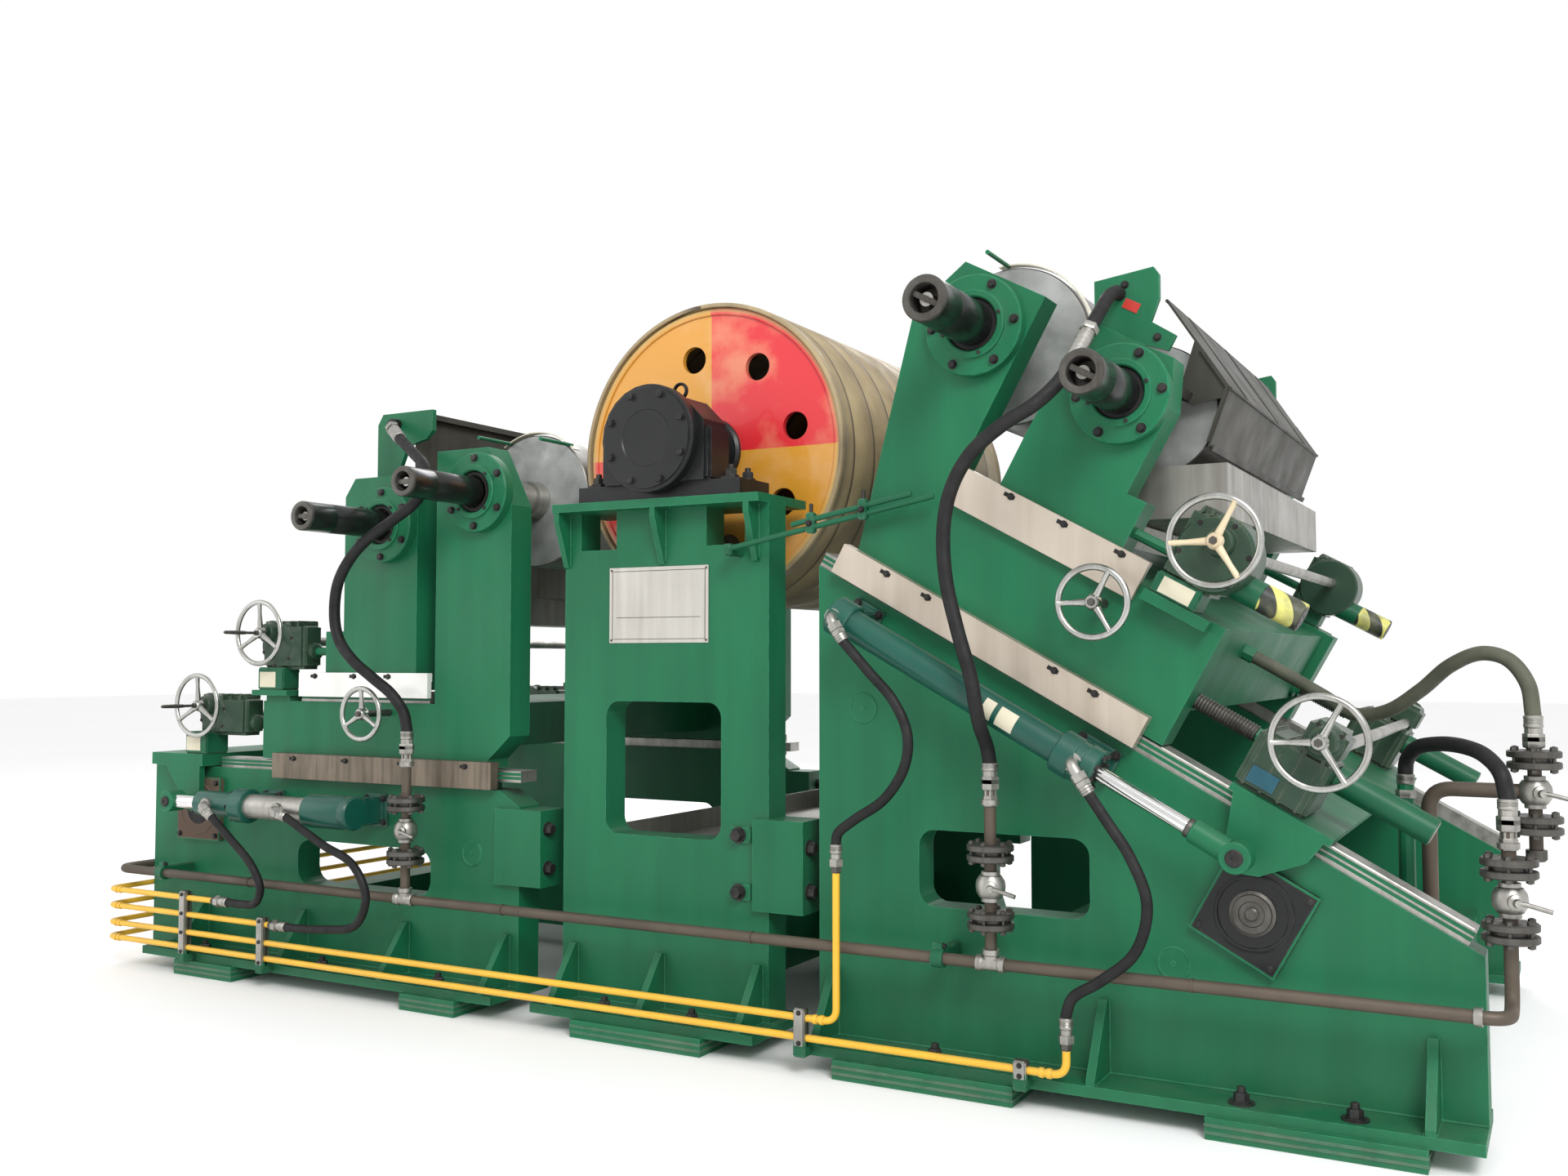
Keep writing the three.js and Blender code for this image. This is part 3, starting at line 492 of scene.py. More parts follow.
olive = paintFinish("jackOlive", (0.010, 0.042, 0.022), (0.022, 0.052, 0.028), (0.13, 0.16, 0.11),
    dustAndShadeColour, (0.4, 0.6), 6, 0.35)
yellow = paintFinish("pipeYellow", (0.80, 0.47, 0.03), (0.66, 0.36, 0.03), (0.30, 0.18, 0.06),
    (0.36, 0.27, 0.11), wearAmount=3)
rust = paintFinish("pipeRust", (0.070, 0.060, 0.048), (0.125, 0.098, 0.074), (0.03, 0.024, 0.02),
    (0.13, 0.12, 0.10), (0.42, 0.7), 4, 0.3, metal=0.4, coat=0, grain=0.35)
castSteel = metalFinish("castSteel", (0.12, 0.115, 0.105), (0.052, 0.045, 0.038), (0.38, 0.62), 12,
    grain=0.3)
steel = metalFinish("bareSteel", (0.40, 0.39, 0.36), (0.19, 0.18, 0.16), (0.32, 0.52), 9)
wheelSteel = metalFinish("wheelSteel", (0.46, 0.46, 0.44), (0.26, 0.25, 0.22), (0.2, 0.38), 10, metal=1)
wheelCream = paintFinish("wheelCream", (0.62, 0.53, 0.36), (0.50, 0.40, 0.26), (0.30, 0.18, 0.10),
    dustAndShadeColour)
chrome = metalFinish("rodChrome", (0.75, 0.75, 0.74), (0.62, 0.62, 0.61), (0.06, 0.16), 5, metal=1,
    grain=0.02)
blackBolt = metalFinish("boltBlack", (0.022, 0.022, 0.022), (0.055, 0.05, 0.045), (0.35, 0.55), 25,
    metal=0.6)
rollSkin = metalFinish("rollSkin", (0.26, 0.25, 0.23), (0.14, 0.13, 0.11), (0.34, 0.5), 3, 0.2, 0.8, 0.02)
rollEndSkin = metalFinish("rollEndGrey", (0.40, 0.41, 0.40), (0.22, 0.225, 0.215), (0.35, 0.6), 7, 0, 0.55,
    0.1, 0.36, 0.66)
sleeveBlack = paintFinish("sleeveBlack", (0.005, 0.006, 0.0055), (0.010, 0.013, 0.011), (0.09, 0.10, 0.09),
    (0.06, 0.065, 0.055), (0.2, 0.4), 5, 0.2)
coverCream = metalFinish("coverStainless", (0.56, 0.49, 0.41), (0.38, 0.32, 0.25), (0.28, 0.5), 2.2, 0.5,
    0.6)
coverBrown = metalFinish("coverStained", (0.20, 0.165, 0.125), (0.075, 0.062, 0.048), (0.3, 0.5), 5, 0.7,
    0.7)
coverWhite = metalFinish("coverBright", (0.80, 0.80, 0.77), (0.62, 0.62, 0.58), (0.25, 0.4), 2, 0.3, 0.35)
plateSilver = metalFinish("plateSilver", (0.55, 0.53, 0.49), (0.42, 0.40, 0.36), (0.32, 0.48), 3, 0.6, 0.9)
sheetDark = metalFinish("hoodSheet", (0.060, 0.058, 0.048), (0.028, 0.027, 0.021), (0.4, 0.6), 2.5, 0.4,
    0.55)
sheetGrey = metalFinish("panSheet", (0.34, 0.33, 0.30), (0.17, 0.16, 0.14), (0.3, 0.5), 3, 0.5, 0.7)
guardCream = paintFinish("guardCream", (0.72, 0.70, 0.58), (0.56, 0.53, 0.42), (0.28, 0.20, 0.12),
    dustAndShadeColour, (0.35, 0.55), 3)
labelCream = paintFinish("labelCream", (0.66, 0.62, 0.48), (0.52, 0.48, 0.36), (0.35, 0.30, 0.22),
    dustAndShadeColour, (0.5, 0.7), 2, coat=0)
tagBlue = paintFinish("tagBlue", (0.006, 0.07, 0.11), (0.008, 0.09, 0.12), (0.06, 0.20, 0.26), dustAndShadeColour,
    (0.4, 0.6), 2)
redPaint = paintFinish("markRed", (0.50, 0.03, 0.02), (0.40, 0.03, 0.02), (0.25, 0.10, 0.06), dustAndShadeColour)
brownCast = paintFinish("flangeBrown", (0.085, 0.055, 0.038), (0.13, 0.085, 0.06), (0.20, 0.15, 0.11),
    dustAndShadeColour, (0.5, 0.7), coat=0)
padFinish = paintFinish("underGreen", (0.012, 0.125, 0.062), (0.03, 0.10, 0.055), (0.09, 0.20, 0.13),
    dustAndShadeColour, dustAndShadeAmount=0.9)


def hoseFinish(name, base, worn):
    material, nodes, links, shader = startFinish(name)
    colour = blendColours(nodes, links, placeGroup(nodes, "mottle", Scale=14, Low=0.35, High=0.8), base,
        worn)
    links.new(colour, shader.inputs["Base Color"])
    rough = blendValues(nodes, links, placeGroup(nodes, "mottle", Scale=30, Low=0.3, High=0.7), 0.5, 0.75)
    links.new(rough, shader.inputs["Roughness"])
    shader.inputs["Specular IOR Level"].default_value = 0.3
    cloth = nodes.new("ShaderNodeTexVoronoi")
    cloth.inputs["Scale"].default_value = 420
    links.new(objectPoints(nodes, links), cloth.inputs["Vector"])
    bump = nodes.new("ShaderNodeBump")
    bump.inputs["Strength"].default_value = 0.35
    bump.inputs["Distance"].default_value = 0.0008
    links.new(cloth.outputs["Distance"], bump.inputs["Height"])
    links.new(bump.outputs["Normal"], shader.inputs["Normal"])
    return material


hoseBlack = hoseFinish("hoseBlack", (0.005, 0.005, 0.0055), (0.016, 0.0155, 0.015))
hoseGrey = hoseFinish("hoseGrey", (0.070, 0.075, 0.052), (0.115, 0.115, 0.085))
seatDark = hoseFinish("sealBlack", (0.008, 0.008, 0.008), (0.02, 0.02, 0.019))
print("finishes ready")

# Finishes that follow places on the machine.
def fromDrumAxis(nodes, links):
    middle = machine @ Vector((0, 0, drumHeight))
    place = nodes.new("ShaderNodeSeparateXYZ")
    links.new(objectPoints(nodes, links), place.inputs[0])
    across = mathNode(nodes, links, "SUBTRACT", place.outputs["X"], middle.x)
    above = mathNode(nodes, links, "SUBTRACT", place.outputs["Z"], middle.z)
    return place, across, above


# Red and yellow quarters with scuffs and a worn rim.
def drumFaceFinish():
    material, nodes, links, shader = startFinish("drumFacePaint")
    calc = partial(mathNode, nodes, links)
    _, across, above = fromDrumAxis(nodes, links)
    product = calc("MULTIPLY", calc("MULTIPLY", across, above), 4000, True)
    colour = blendColours(nodes, links, product, (0.60, 0.27, 0.025), (0.62, 0.022, 0.030))
    squares = calc("ADD", calc("MULTIPLY", across, across), calc("MULTIPLY", above, above))
    radius = calc("SQRT", squares)
    rim = calc("MULTIPLY", calc("SUBTRACT", radius, 0.495), 120, True)
    scuff = placeGroup(nodes, "mottle", Scale=6, Low=0.5, High=0.72)
    colour = blendColours(nodes, links, calc("MULTIPLY", scuff, 0.45), colour, (0.70, 0.42, 0.22))
    colour = blendColours(nodes, links, calc("MULTIPLY", rim, 0.55), colour, (0.50, 0.40, 0.16))
    # Dust on faces that look up, with painted shade in corners and crevices.
    colour = blendColours(nodes, links, placeGroup(nodes, "dustAndCornerShade", Amount=0.3), colour, (0.25, 0.2, 0.12))
    links.new(colour, shader.inputs["Base Color"])
    links.new(blendValues(nodes, links, scuff, 0.28, 0.5), shader.inputs["Roughness"])
    links.new(placeGroup(nodes, "bump", Scale=20, Strength=0.12), shader.inputs["Normal"])
    shader.inputs["Coat Weight"].default_value = 0.35
    return material


# Wrapping paper wound round the barrel in slanting turns; each turn is painted darker towards the next
# turn's edge as painted shade under the overlap.
def drumWrapFinish():
    material, nodes, links, shader = startFinish("drumWrapPaper")
    calc = partial(mathNode, nodes, links)
    place, across, above = fromDrumAxis(nodes, links)
    slant = calc("ADD", calc("MULTIPLY", across, 0.16), calc("MULTIPLY", above, 0.05))
    along = calc("MULTIPLY", calc("ADD", place.outputs["Y"], slant), 6.4)
    turn = calc("FRACT", along)
    seam = calc("MULTIPLY", calc("SUBTRACT", turn, 0.90), 12, True)
    # Painted shade: darker towards the end of each turn, under the next turn's overlapping edge.
    shade = calc("MULTIPLY", calc("SUBTRACT", turn, 0.25), 1.1, True)
    colour = blendColours(nodes, links, shade, (0.40, 0.31, 0.17), (0.25, 0.19, 0.11))
    colour = blendColours(nodes, links, placeGroup(nodes, "mottle", Scale=5, Low=0.4, High=0.75), colour,
        (0.19, 0.145, 0.085))
    colour = blendColours(nodes, links, seam, colour, (0.065, 0.05, 0.034))
    links.new(colour, shader.inputs["Base Color"])
    links.new(blendValues(nodes, links, placeGroup(nodes, "mottle", Scale=12), 0.45, 0.7),
        shader.inputs["Roughness"])
    bump = nodes.new("ShaderNodeBump")
    bump.inputs["Strength"].default_value = 0.5
    bump.inputs["Distance"].default_value = 0.006
    links.new(calc("SUBTRACT", shade, seam), bump.inputs["Height"])
    links.new(bump.outputs["Normal"], shader.inputs["Normal"])
    return material


# Slanting yellow and black stripes.
def stripeFinish():
    material, nodes, links, shader = startFinish("warningStripes")
    calc = partial(mathNode, nodes, links)
    place = nodes.new("ShaderNodeSeparateXYZ")
    links.new(objectPoints(nodes, links), place.inputs[0])
    slant = calc("ADD", calc("MULTIPLY", place.outputs["X"], 1.3), place.outputs["Y"])
    turn = calc("FRACT", calc("MULTIPLY", slant, 9))
    band = calc("MULTIPLY", calc("SUBTRACT", turn, 0.5), 30, True)
    colour = blendColours(nodes, links, band, (0.02, 0.025, 0.02), (0.62, 0.60, 0.16))
    colour = blendColours(nodes, links, placeGroup(nodes, "mottle", Scale=14, Low=0.5, High=0.8), colour,
        (0.16, 0.16, 0.09))
    links.new(colour, shader.inputs["Base Color"])
    links.new(blendValues(nodes, links, placeGroup(nodes, "mottle", Scale=9), 0.4, 0.6),
        shader.inputs["Roughness"])
    return material


drumFacePaint = drumFaceFinish()
drumWrapPaper = drumWrapFinish()
warningStripes = stripeFinish()


# Hoses: the routes are those of the solid model, in millimetres.
hoseRoutes = {
    "leftFeedHose": {"node": "left_feed_hose", "radius": 20, "follow": "left_carriage", "points": [
        (-1003, -1165, 947.6), (-1003, -1165, 975), (-1016, -1171, 1040), (-1062, -1186, 1106),
        (-1130, -1205, 1160), (-1215, -1226, 1228), (-1278, -1230, 1300), (-1302, -1230, 1380),
        (-1290, -1230, 1500), (-1230, -1230, 1592), (-1143, -1230, 1662), (-1030, -1226, 1722),
        (-935, -1212, 1785), (-905, -1190, 1850), (-950, -1150, 1918), (-1058, -1095, 1984),
        (-1176, -1040, 2051), (-1272, -985, 2110), (-1312, -945, 2135), (-1312, -914.6, 2135)]},
    "rightFeedHose": {"node": "right_feed_hose", "radius": 20, "follow": "right_carriage", "hold": 8,
    "points": [
        (1198, -1165, 918.6), (1198, -1165, 940), (1198, -1186, 985), (1199, -1240, 1042),
        (1199, -1272, 1100), (1190, -1285, 1180), (1153, -1290, 1313), (1122, -1293, 1450),
        (1116, -1295, 1587), (1140, -1300, 1698), (1198, -1300, 1795), (1292, -1292, 1872),
        (1374, -1275, 1921), (1424, -1243, 1974), (1450, -1190, 2038), (1472, -1130, 2120),
        (1492, -1050, 2210), (1502, -980, 2272), (1512, -945, 2290), (1512, -914.6, 2290)]},
    "leftRetractHose": {"node": "left_retract_hose", "radius": 15, "points": [
        (-1927.5, -1255, 639.7), (-1907, -1255, 626.6), (-1818, -1250, 558), (-1704, -1240, 459),
        (-1664, -1232, 375), (-1700, -1222, 318), (-1790, -1212, 304), (-1862, -1210, 304),
        (-1888.4, -1210, 304)]},
    "leftAdvanceHose": {"node": "left_advance_hose", "radius": 15, "points": [
        (-1529.4, -1255, 654.85), (-1506, -1255, 649), (-1322, -1252, 561), (-1179, -1245, 499),
        (-1117, -1240, 389), (-1174, -1230, 284), (-1356, -1218, 250), (-1500, -1210, 240),
        (-1545, -1210, 240), (-1574.4, -1210, 240)]},
    "rightRetractHose": {"node": "right_retract_hose", "radius": 15, "points": [
        (771.6, -1255, 1299.7), (785, -1255, 1278.9), (868, -1258, 1192), (944, -1258, 1111),
        (986, -1256, 1017), (974, -1250, 925), (905, -1238, 829), (800, -1222, 762),
        (742, -1212, 718), (735, -1210, 690), (735, -1210, 662.5)]},
    "rightAdvanceHose": {"node": "right_advance_hose", "radius": 15, "points": [
        (1498.6, -1255, 891), (1512, -1255, 869.8), (1560, -1255, 800), (1617, -1255, 716),
        (1660, -1250, 594), (1625, -1240, 466), (1527, -1228, 378), (1446, -1214, 322),
        (1427, -1210, 272), (1427, -1210, 240.5)]},
    "returnHose": {"node": "return_hose", "radius": 20, "follow": "right_carriage", "grey": True,
    "points": [
        (2545, -730, 1052.5), (2545, -730, 1085), (2534, -724, 1165), (2490, -708, 1228),
        (2425, -682, 1246), (2345, -638, 1213), (2263, -580, 1143), (2171, -530, 1082),
        (2077, -480, 1068), (1980, -442, 1122), (1880, -431, 1181), (1808.5, -430, 1222.3),
        (1782.7, -430, 1236.6)]},
    "drainHose": {"node": "drain_hose", "radius": 20, "points": [
        (2492, -1030, 863.5), (2492, -1030, 890), (2478, -1010, 948), (2440, -960, 988),
        (2390, -900, 1005), (2322, -820, 1006), (2262, -745, 988), (2234, -706, 950),
        (2230, -700, 918), (2230, -700, 890.5)]},
}


# Centripetal curve through the inner points, with a straight first and last stretch.
def smoothRoute(points, perSpan=8):
    points = [Vector(p) for p in points]
    inner = points[1:-1]
    padded = [2 * inner[0] - inner[1], *inner, 2 * inner[-1] - inner[-2]]
    route = [points[0]]
    for a, b, c, d in zip(padded, padded[1:], padded[2:], padded[3:]):
        t0, t1 = 0, (b - a).length ** 0.5
        t2 = t1 + (c - b).length ** 0.5
        t3 = t2 + (d - c).length ** 0.5
        for i in range(perSpan):
            t = t1 + (t2 - t1) * i / perSpan
            ab = a.lerp(b, (t - t0) / (t1 - t0))
            bc = b.lerp(c, (t - t1) / (t2 - t1))
            cd = c.lerp(d, (t - t2) / (t3 - t2))
            abc = ab.lerp(bc, (t - t0) / (t2 - t0))
            bcd = bc.lerp(cd, (t - t1) / (t3 - t1))
            route.append(abc.lerp(bcd, (t - t1) / (t2 - t1)))
    return [*route, inner[-1], points[-1]]


for name, spec in hoseRoutes.items():
    route = smoothRoute(spec["points"])
    length = sum((b - a).length for a, b in zip(route, route[1:])) / 1000
    piece = bmesh.new()
    addTube(piece, 0, route, spec["radius"], 16)
    follow = spec.get("follow")
    item = makePiece(name, piece, machine, None if follow else "fixed_frame",
        [hoseGrey if spec.get("grey") else hoseBlack],
        [spec["node"]])
    if follow:
        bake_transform(item)
print("hoses laid:", len(hoseRoutes))


# Crimped steel ferrule with a hexagon nut, on the end of a hose; outward is the way the hose leaves.
def ferruleShape(place, outward, radius, length=62):
    crimp = [(0, -26), (radius + 1, -26), (radius + 1, -4), (radius + 4, 0)]
    for i in range(4):
        z = 6 + i * (length - 14) / 4
        crimp += [(radius + 4, z), (radius + 2.6, z + 2), (radius + 4, z + 4)]
    crimp += [(radius + 4, length - 3), (radius + 1.5, length), (radius + 0.4, length),
        (radius + 0.4, length - 8)]
    barrel = turnedShape(place, outward, [*crimp, (0, length - 8)], 28)
    nut = turnedShape(place, outward, [(0, -40), (radius + 6, -40), (radius + 7, -38), (radius + 7, -20),
        (radius + 6, -18), (0, -18)], 6)
    return joined(barrel, nut)


def addFerrules(name, body, places):
    piece = bmesh.new()
    for hose, end, length in places:
        points = [Vector(p) for p in hoseRoutes[hose]["points"]]
        if end:
            points.reverse()
        addPart(piece, ferruleShape(points[0], points[1] - points[0], hoseRoutes[hose]["radius"], length))
    makePiece(name, piece, machine, body, [steel])


addFerrules("frameFerrules", "fixed_frame", [("leftFeedHose", 0, 26), ("rightFeedHose", 0, 20),
    ("leftRetractHose", 0, 22), ("leftRetractHose", 1, 24), ("leftAdvanceHose", 0, 22),
    ("leftAdvanceHose", 1, 27), ("rightRetractHose", 0, 22), ("rightRetractHose", 1, 25),
    ("rightAdvanceHose", 0, 22), ("rightAdvanceHose", 1, 28), ("returnHose", 0, 30), ("drainHose", 0, 24),
    ("drainHose", 1, 25)])
upperFerrules = {
    "leftUpperFerrule": {"body": "left_carriage", "place": (-1245, -1001, 2093),
    "toward": (-1176, -1040, 2051)},
    "rightUpperFerrule": {"body": "right_carriage", "place": (1474, -1124, 2128),
    "toward": (1450, -1190, 2038)},
}
for name, spec in upperFerrules.items():
    piece = bmesh.new()
    place, toward = Vector(spec["place"]), Vector(spec["toward"])
    addPart(piece, ferruleShape(place, toward - place, 20, 84))
    makePiece(name, piece, machine, spec["body"], [steel])


# Drum.
drumSpec = {"radius": 530, "wall": 15, "end": 280, "holeCircle": 345, "hole": 48}
outer, inner, reach = drumSpec["radius"], drumSpec["radius"] - drumSpec["wall"], halfDepth - drumSpec["end"]
piece = bmesh.new()
shell = [(inner, -reach), (inner + 2, -reach - 1), (outer - 5, -reach - 1), (outer - 1, -reach + 3),
    (outer, -reach + 22), (outer - 1.5, -reach + 24), (outer - 1.5, -reach + 60), (outer, -reach + 62),
    (outer, reach - 62), (outer - 1.5, reach - 60), (outer - 1.5, reach - 24), (outer, reach - 22),
    (outer - 1, reach - 3), (outer - 5, reach + 1), (inner + 2, reach + 1), (inner, reach), (inner, -reach)]
addTurned(piece, 0, (0, 0, drumHeight), (0, 1, 0), shell, 144)
makePiece("drumBarrel", piece, machine, "drum", [drumWrapPaper], ["drum_shell"], sharp=50)


# Flat round plate with round holes, its thickness along Y.
def holedPlate(x, z, radius, holes, y0, y1, segments=128):
    curve = bpy.data.curves.new("plate", "CURVE")
    curve.dimensions = "2D"
    curve.fill_mode = "BOTH"
    curve.extrude = abs(y1 - y0) / 2
    for cx, cz, r, count in [(x, z, radius, segments), *((hx, hz, hr, 32) for hx, hz, hr in holes)]:
        spline = curve.splines.new("POLY")
        spline.points.add(count - 1)
        for i, point in enumerate(spline.points):
            a = 2 * math.pi * i / count
            point.co = (cx + r * math.cos(a), -(cz + r * math.sin(a)), 0, 1)
        spline.use_cyclic_u = True
    holder = bpy.data.objects.new("plate", curve)
    scene.collection.objects.link(holder)
    part = bmesh.new()
    evaluated = holder.evaluated_get(bpy.context.evaluated_depsgraph_get())
    part.from_mesh(evaluated.to_mesh())
    evaluated.to_mesh_clear()
    bpy.data.objects.remove(holder)
    bpy.data.curves.remove(curve)
    turn = Matrix.Translation((0, (y0 + y1) / 2, 0)) @ Matrix.Rotation(math.radians(-90), 4, "X")
    bmesh.ops.transform(part, matrix=turn, verts=part.verts)
    bmesh.ops.remove_doubles(part, verts=part.verts, dist=0.01)
    bmesh.ops.recalc_face_normals(part, faces=part.faces)
    return part


for end, side in ends:
    piece = bmesh.new()
    holes = [(x, drumHeight + up, drumSpec["hole"]) for x, up in ringSpots(8, drumSpec["holeCircle"], 12)]
    addPart(piece, holedPlate(0, drumHeight, inner + 0.5, holes, depthAt(side, 300), depthAt(side, 320)), 0)
    addTurned(piece, 0, (0, depthAt(side, 300), drumHeight), (0, side, 0),
        [(inner - 26, 0), (inner - 3, 0), (inner - 3, 5), (inner - 6, 7), (inner - 23, 7), (inner - 26, 5),
        (inner - 26, 0)], 128)
    addTurned(piece, 1, (0, depthAt(side, 320), drumHeight), (0, side, 0),
        [(0, 0), (60, 0), (60, 26), (118, 26), (122, 20), (122, 32), (112, 40), (72, 44), (60, 60),
        (60, 294), (0, 294)], 64)
    addTurned(piece, 1, (0, depthAt(side, 334), drumHeight), (0, side, 0),
        [(46, 0), (0, 0), (0, 2), (46, 2)], 8)
    makePiece("drumFace" + end, piece, machine, "drum", [drumFacePaint, black],
        ["drum_end_" + end.lower()])

# Drum bearing housings.
bearing = {"bolts": 8, "boltCircle": 150}
for end, side in ends:
    piece = bmesh.new()
    y = depthAt(side, -100)
    addTurned(piece, 0, (0, depthAt(side, -59), drumHeight), (0, side, 0),
        [(0, 0), (179, 0), (179, 36), (175, 41), (168, 42), (166, 48), (96, 48), (92, 44), (30, 43),
        (0, 43)], 72)
    for x, up in ringSpots(bearing["bolts"], bearing["boltCircle"], 22.5):
        addBolt(piece, 1, (x, y + side * 7, drumHeight + up), (0, side, 0), 22, 13)
    for x in (-200, 200):
        low, high = depthSpan(side, -52, 72)
        addBlock(piece, 0, x - 16, x + 16, low, high, 1813, 1990, 8)
    for x in (-265, 265):
        for d in (0, 105):
            addBlock(piece, 0, x - 26, x + 26, depthAt(side, d) - 26, depthAt(side, d) + 26, 1812, 1822, 3)
            addBolt(piece, 1, (x, depthAt(side, d), 1822), (0, 0, 1), 36, 26)
            addRod(piece, 1, (x, depthAt(side, d), 1846), (x, depthAt(side, d), 1862), 10, 16)
    ring = [(34 + 8 * math.cos(math.radians(a)), 8 * math.sin(math.radians(a))) for a in range(0, 361, 30)]
    addRod(piece, 0, (60, depthAt(side, 10), 2083), (60, depthAt(side, 10), 2098), 15, 20)
    addTurned(piece, 0, (60, depthAt(side, 10), 2122), (0, 1, 0), [(0.7 * r, h) for r, h in ring], 32)
    makePiece("drumBearingTrim" + end, piece, machine, "fixed_frame", [black, blackBolt])
print("drum and bearings done")


# Rolls with coupling sleeves.
rolls = {
    "leftApplicator": {"node": "left_applicator_roll", "place": machine, "x": -785, "z": 1828,
    "barrel": 250, "sleeve": 52, "tip": 402, "cap": 142, "carrier": "left_carriage"},
    "leftPickup": {"node": "left_pickup_roll", "place": machine, "x": -1236, "z": 1731, "barrel": 190,
    "sleeve": 52, "tip": 425, "cap": 140, "carrier": "left_slide"},
    "rightApplicator": {"node": "right_applicator_roll", "place": incline, "x": 130, "z": 862,
    "barrel": 250, "sleeve": 66, "tip": 400, "cap": 150, "carrier": "right_carriage"},
    "rightPickup": {"node": "right_pickup_roll", "place": incline, "x": 626, "z": 860, "barrel": 200,
    "sleeve": 61, "tip": 389, "cap": 141, "carrier": "right_slide"},
}
for name, spec in rolls.items():
    x, z, r, barrel = spec["x"], spec["z"], spec["sleeve"], spec["barrel"]
    mouth = -(halfDepth + spec["tip"])
    back = 730
    piece = bmesh.new()
    addTurned(piece, 1, (x, 0, z), (0, 1, 0), [(0, mouth + 70), (0.62 * r, mouth + 70),
        (0.62 * r, mouth + 5), (0.66 * r, mouth + 1), (0.8 * r, mouth)], 48)
    addTurned(piece, 1, (x, 0, z), (0, 1, 0), [(0.8 * r, mouth), (0.95 * r, mouth + 0.5), (r, mouth + 5),
        (r, mouth + 14)], 48)
    addTurned(piece, 0, (x, 0, z), (0, 1, 0), [(r, mouth + 14), (r, mouth + 120), (r - 1.5, mouth + 122),
        (r - 1.5, mouth + 128), (r, mouth + 130), (r, -1082), (r - 4, -1076), (0, -1076)], 48)
    key = 0.62 * r
    addBlock(piece, 1, x - key, x + key, mouth + 12, mouth + 40, z - 8, z + 8, 2)
    addTurned(piece, 4, (x, mouth + 72, z), (0, -1, 0), [(0, 0), (0.3 * r, 0), (0.3 * r, 52),
        (0.14 * r, 52), (0.14 * r, 30), (0, 30)], 32)
    addTurned(piece, 4, (x, 0, z), (0, 1, 0), [(58, -1078), (58, -back - 60), (70, -back - 58),
        (72, -back - 3), (58, -back), (58, back), (72, back + 3), (70, back + 58), (58, back + 60),
        (58, 1064), (56, 1066), (0, 1066)], 48)
    addTurned(piece, 3, (x, 0, z), (0, 1, 0), [(56, -back - 1), (barrel - 8, -back - 1),
        (barrel - 4, -back)], 96)
    addTurned(piece, 3, (x, 0, z), (0, 1, 0), [(barrel - 4, back), (barrel - 8, back + 1), (56, back + 1)],
        96)
    addTurned(piece, 2, (x, 0, z), (0, 1, 0), [(barrel - 4, -back), (barrel, -back + 4), (barrel, back - 4),
        (barrel - 4, back)], 128)
    makePiece(name + "Roll", piece, spec["place"], spec["node"] + "_body",
        [sleeveBlack, castSteel, rollSkin, rollEndSkin, steel], [spec["node"]], sharp=40)
    for end, side in ends:
        piece = bmesh.new()
        cap = spec["cap"]
        foot = (x, depthAt(side, 0), z)
        addTurned(piece, 0, foot, (0, side, 0), [(62, -30), (62, 30), (0.53 * cap, 34), (0.53 * cap, 52),
            (0.56 * cap, 56), (0.66 * cap, 56), (0.68 * cap, 53), (0.68 * cap, 43), (0.74 * cap, 41.5),
            (cap - 3, 41.5), (cap + 1, 37), (cap + 1, -1), (62, -30)], 72)
        addTurned(piece, 2, foot, (0, side, 0), [(60, 10), (60, 44), (0.5 * cap, 44), (0.53 * cap, 40),
            (0.53 * cap, 10), (60, 10)], 48)
        for across, up in ringSpots(6, 0.86 * cap, 30):
            addBolt(piece, 1, (x + across, depthAt(side, -41), z + up), (0, side, 0), 21, 14)
        for across, up in ringSpots(4, 0.61 * cap, 45):
            spot = (x + across, depthAt(side, -56), z + up)
            addTurned(piece, 1, spot, (0, side, 0), [(0, 0), (6, 0), (6, 5), (4.5, 6), (0, 6)], 16)
        if side > 0:
            addTurned(piece, 2, foot, (0, side, 0), [(0, 72), (0.45 * cap, 72), (0.53 * cap, 64),
                (0.53 * cap, 40), (0, 40)], 48)
        makePiece(name + "Cap" + end, piece, spec["place"], spec["carrier"], [green, blackBolt, seatDark])
print("rolls done")

# Handwheels.
handwheels = {
    "leftUpperWheel": {"node": "left_upper_handwheel", "place": machine, "x": -1843, "z": 1332,
    "radius": 120, "out": 75, "shaft": 46, "grip": 165},
    "leftLowerWheel": {"node": "left_lower_handwheel", "place": machine, "x": -2194, "z": 1044,
    "radius": 120, "out": 75, "shaft": 46, "grip": 165},
    "leftFaceWheel": {"node": "left_face_handwheel", "place": machine, "x": -1216, "z": 1031, "radius": 92,
    "out": 150, "shaft": 6},
    "rightUpperWheel": {"node": "right_upper_handwheel", "place": incline, "x": 1076, "z": 616,
    "radius": 118, "out": 135, "shaft": 96, "spokes": wheelCream},
    "rightFaceWheel": {"node": "right_face_handwheel", "place": incline, "x": 860, "z": 320, "radius": 97,
    "out": 120, "shaft": 6},
    "rightLowerWheel": {"node": "right_lower_handwheel", "place": incline, "x": 1548, "z": 282,
    "radius": 117, "out": 135, "shaft": 96},
}
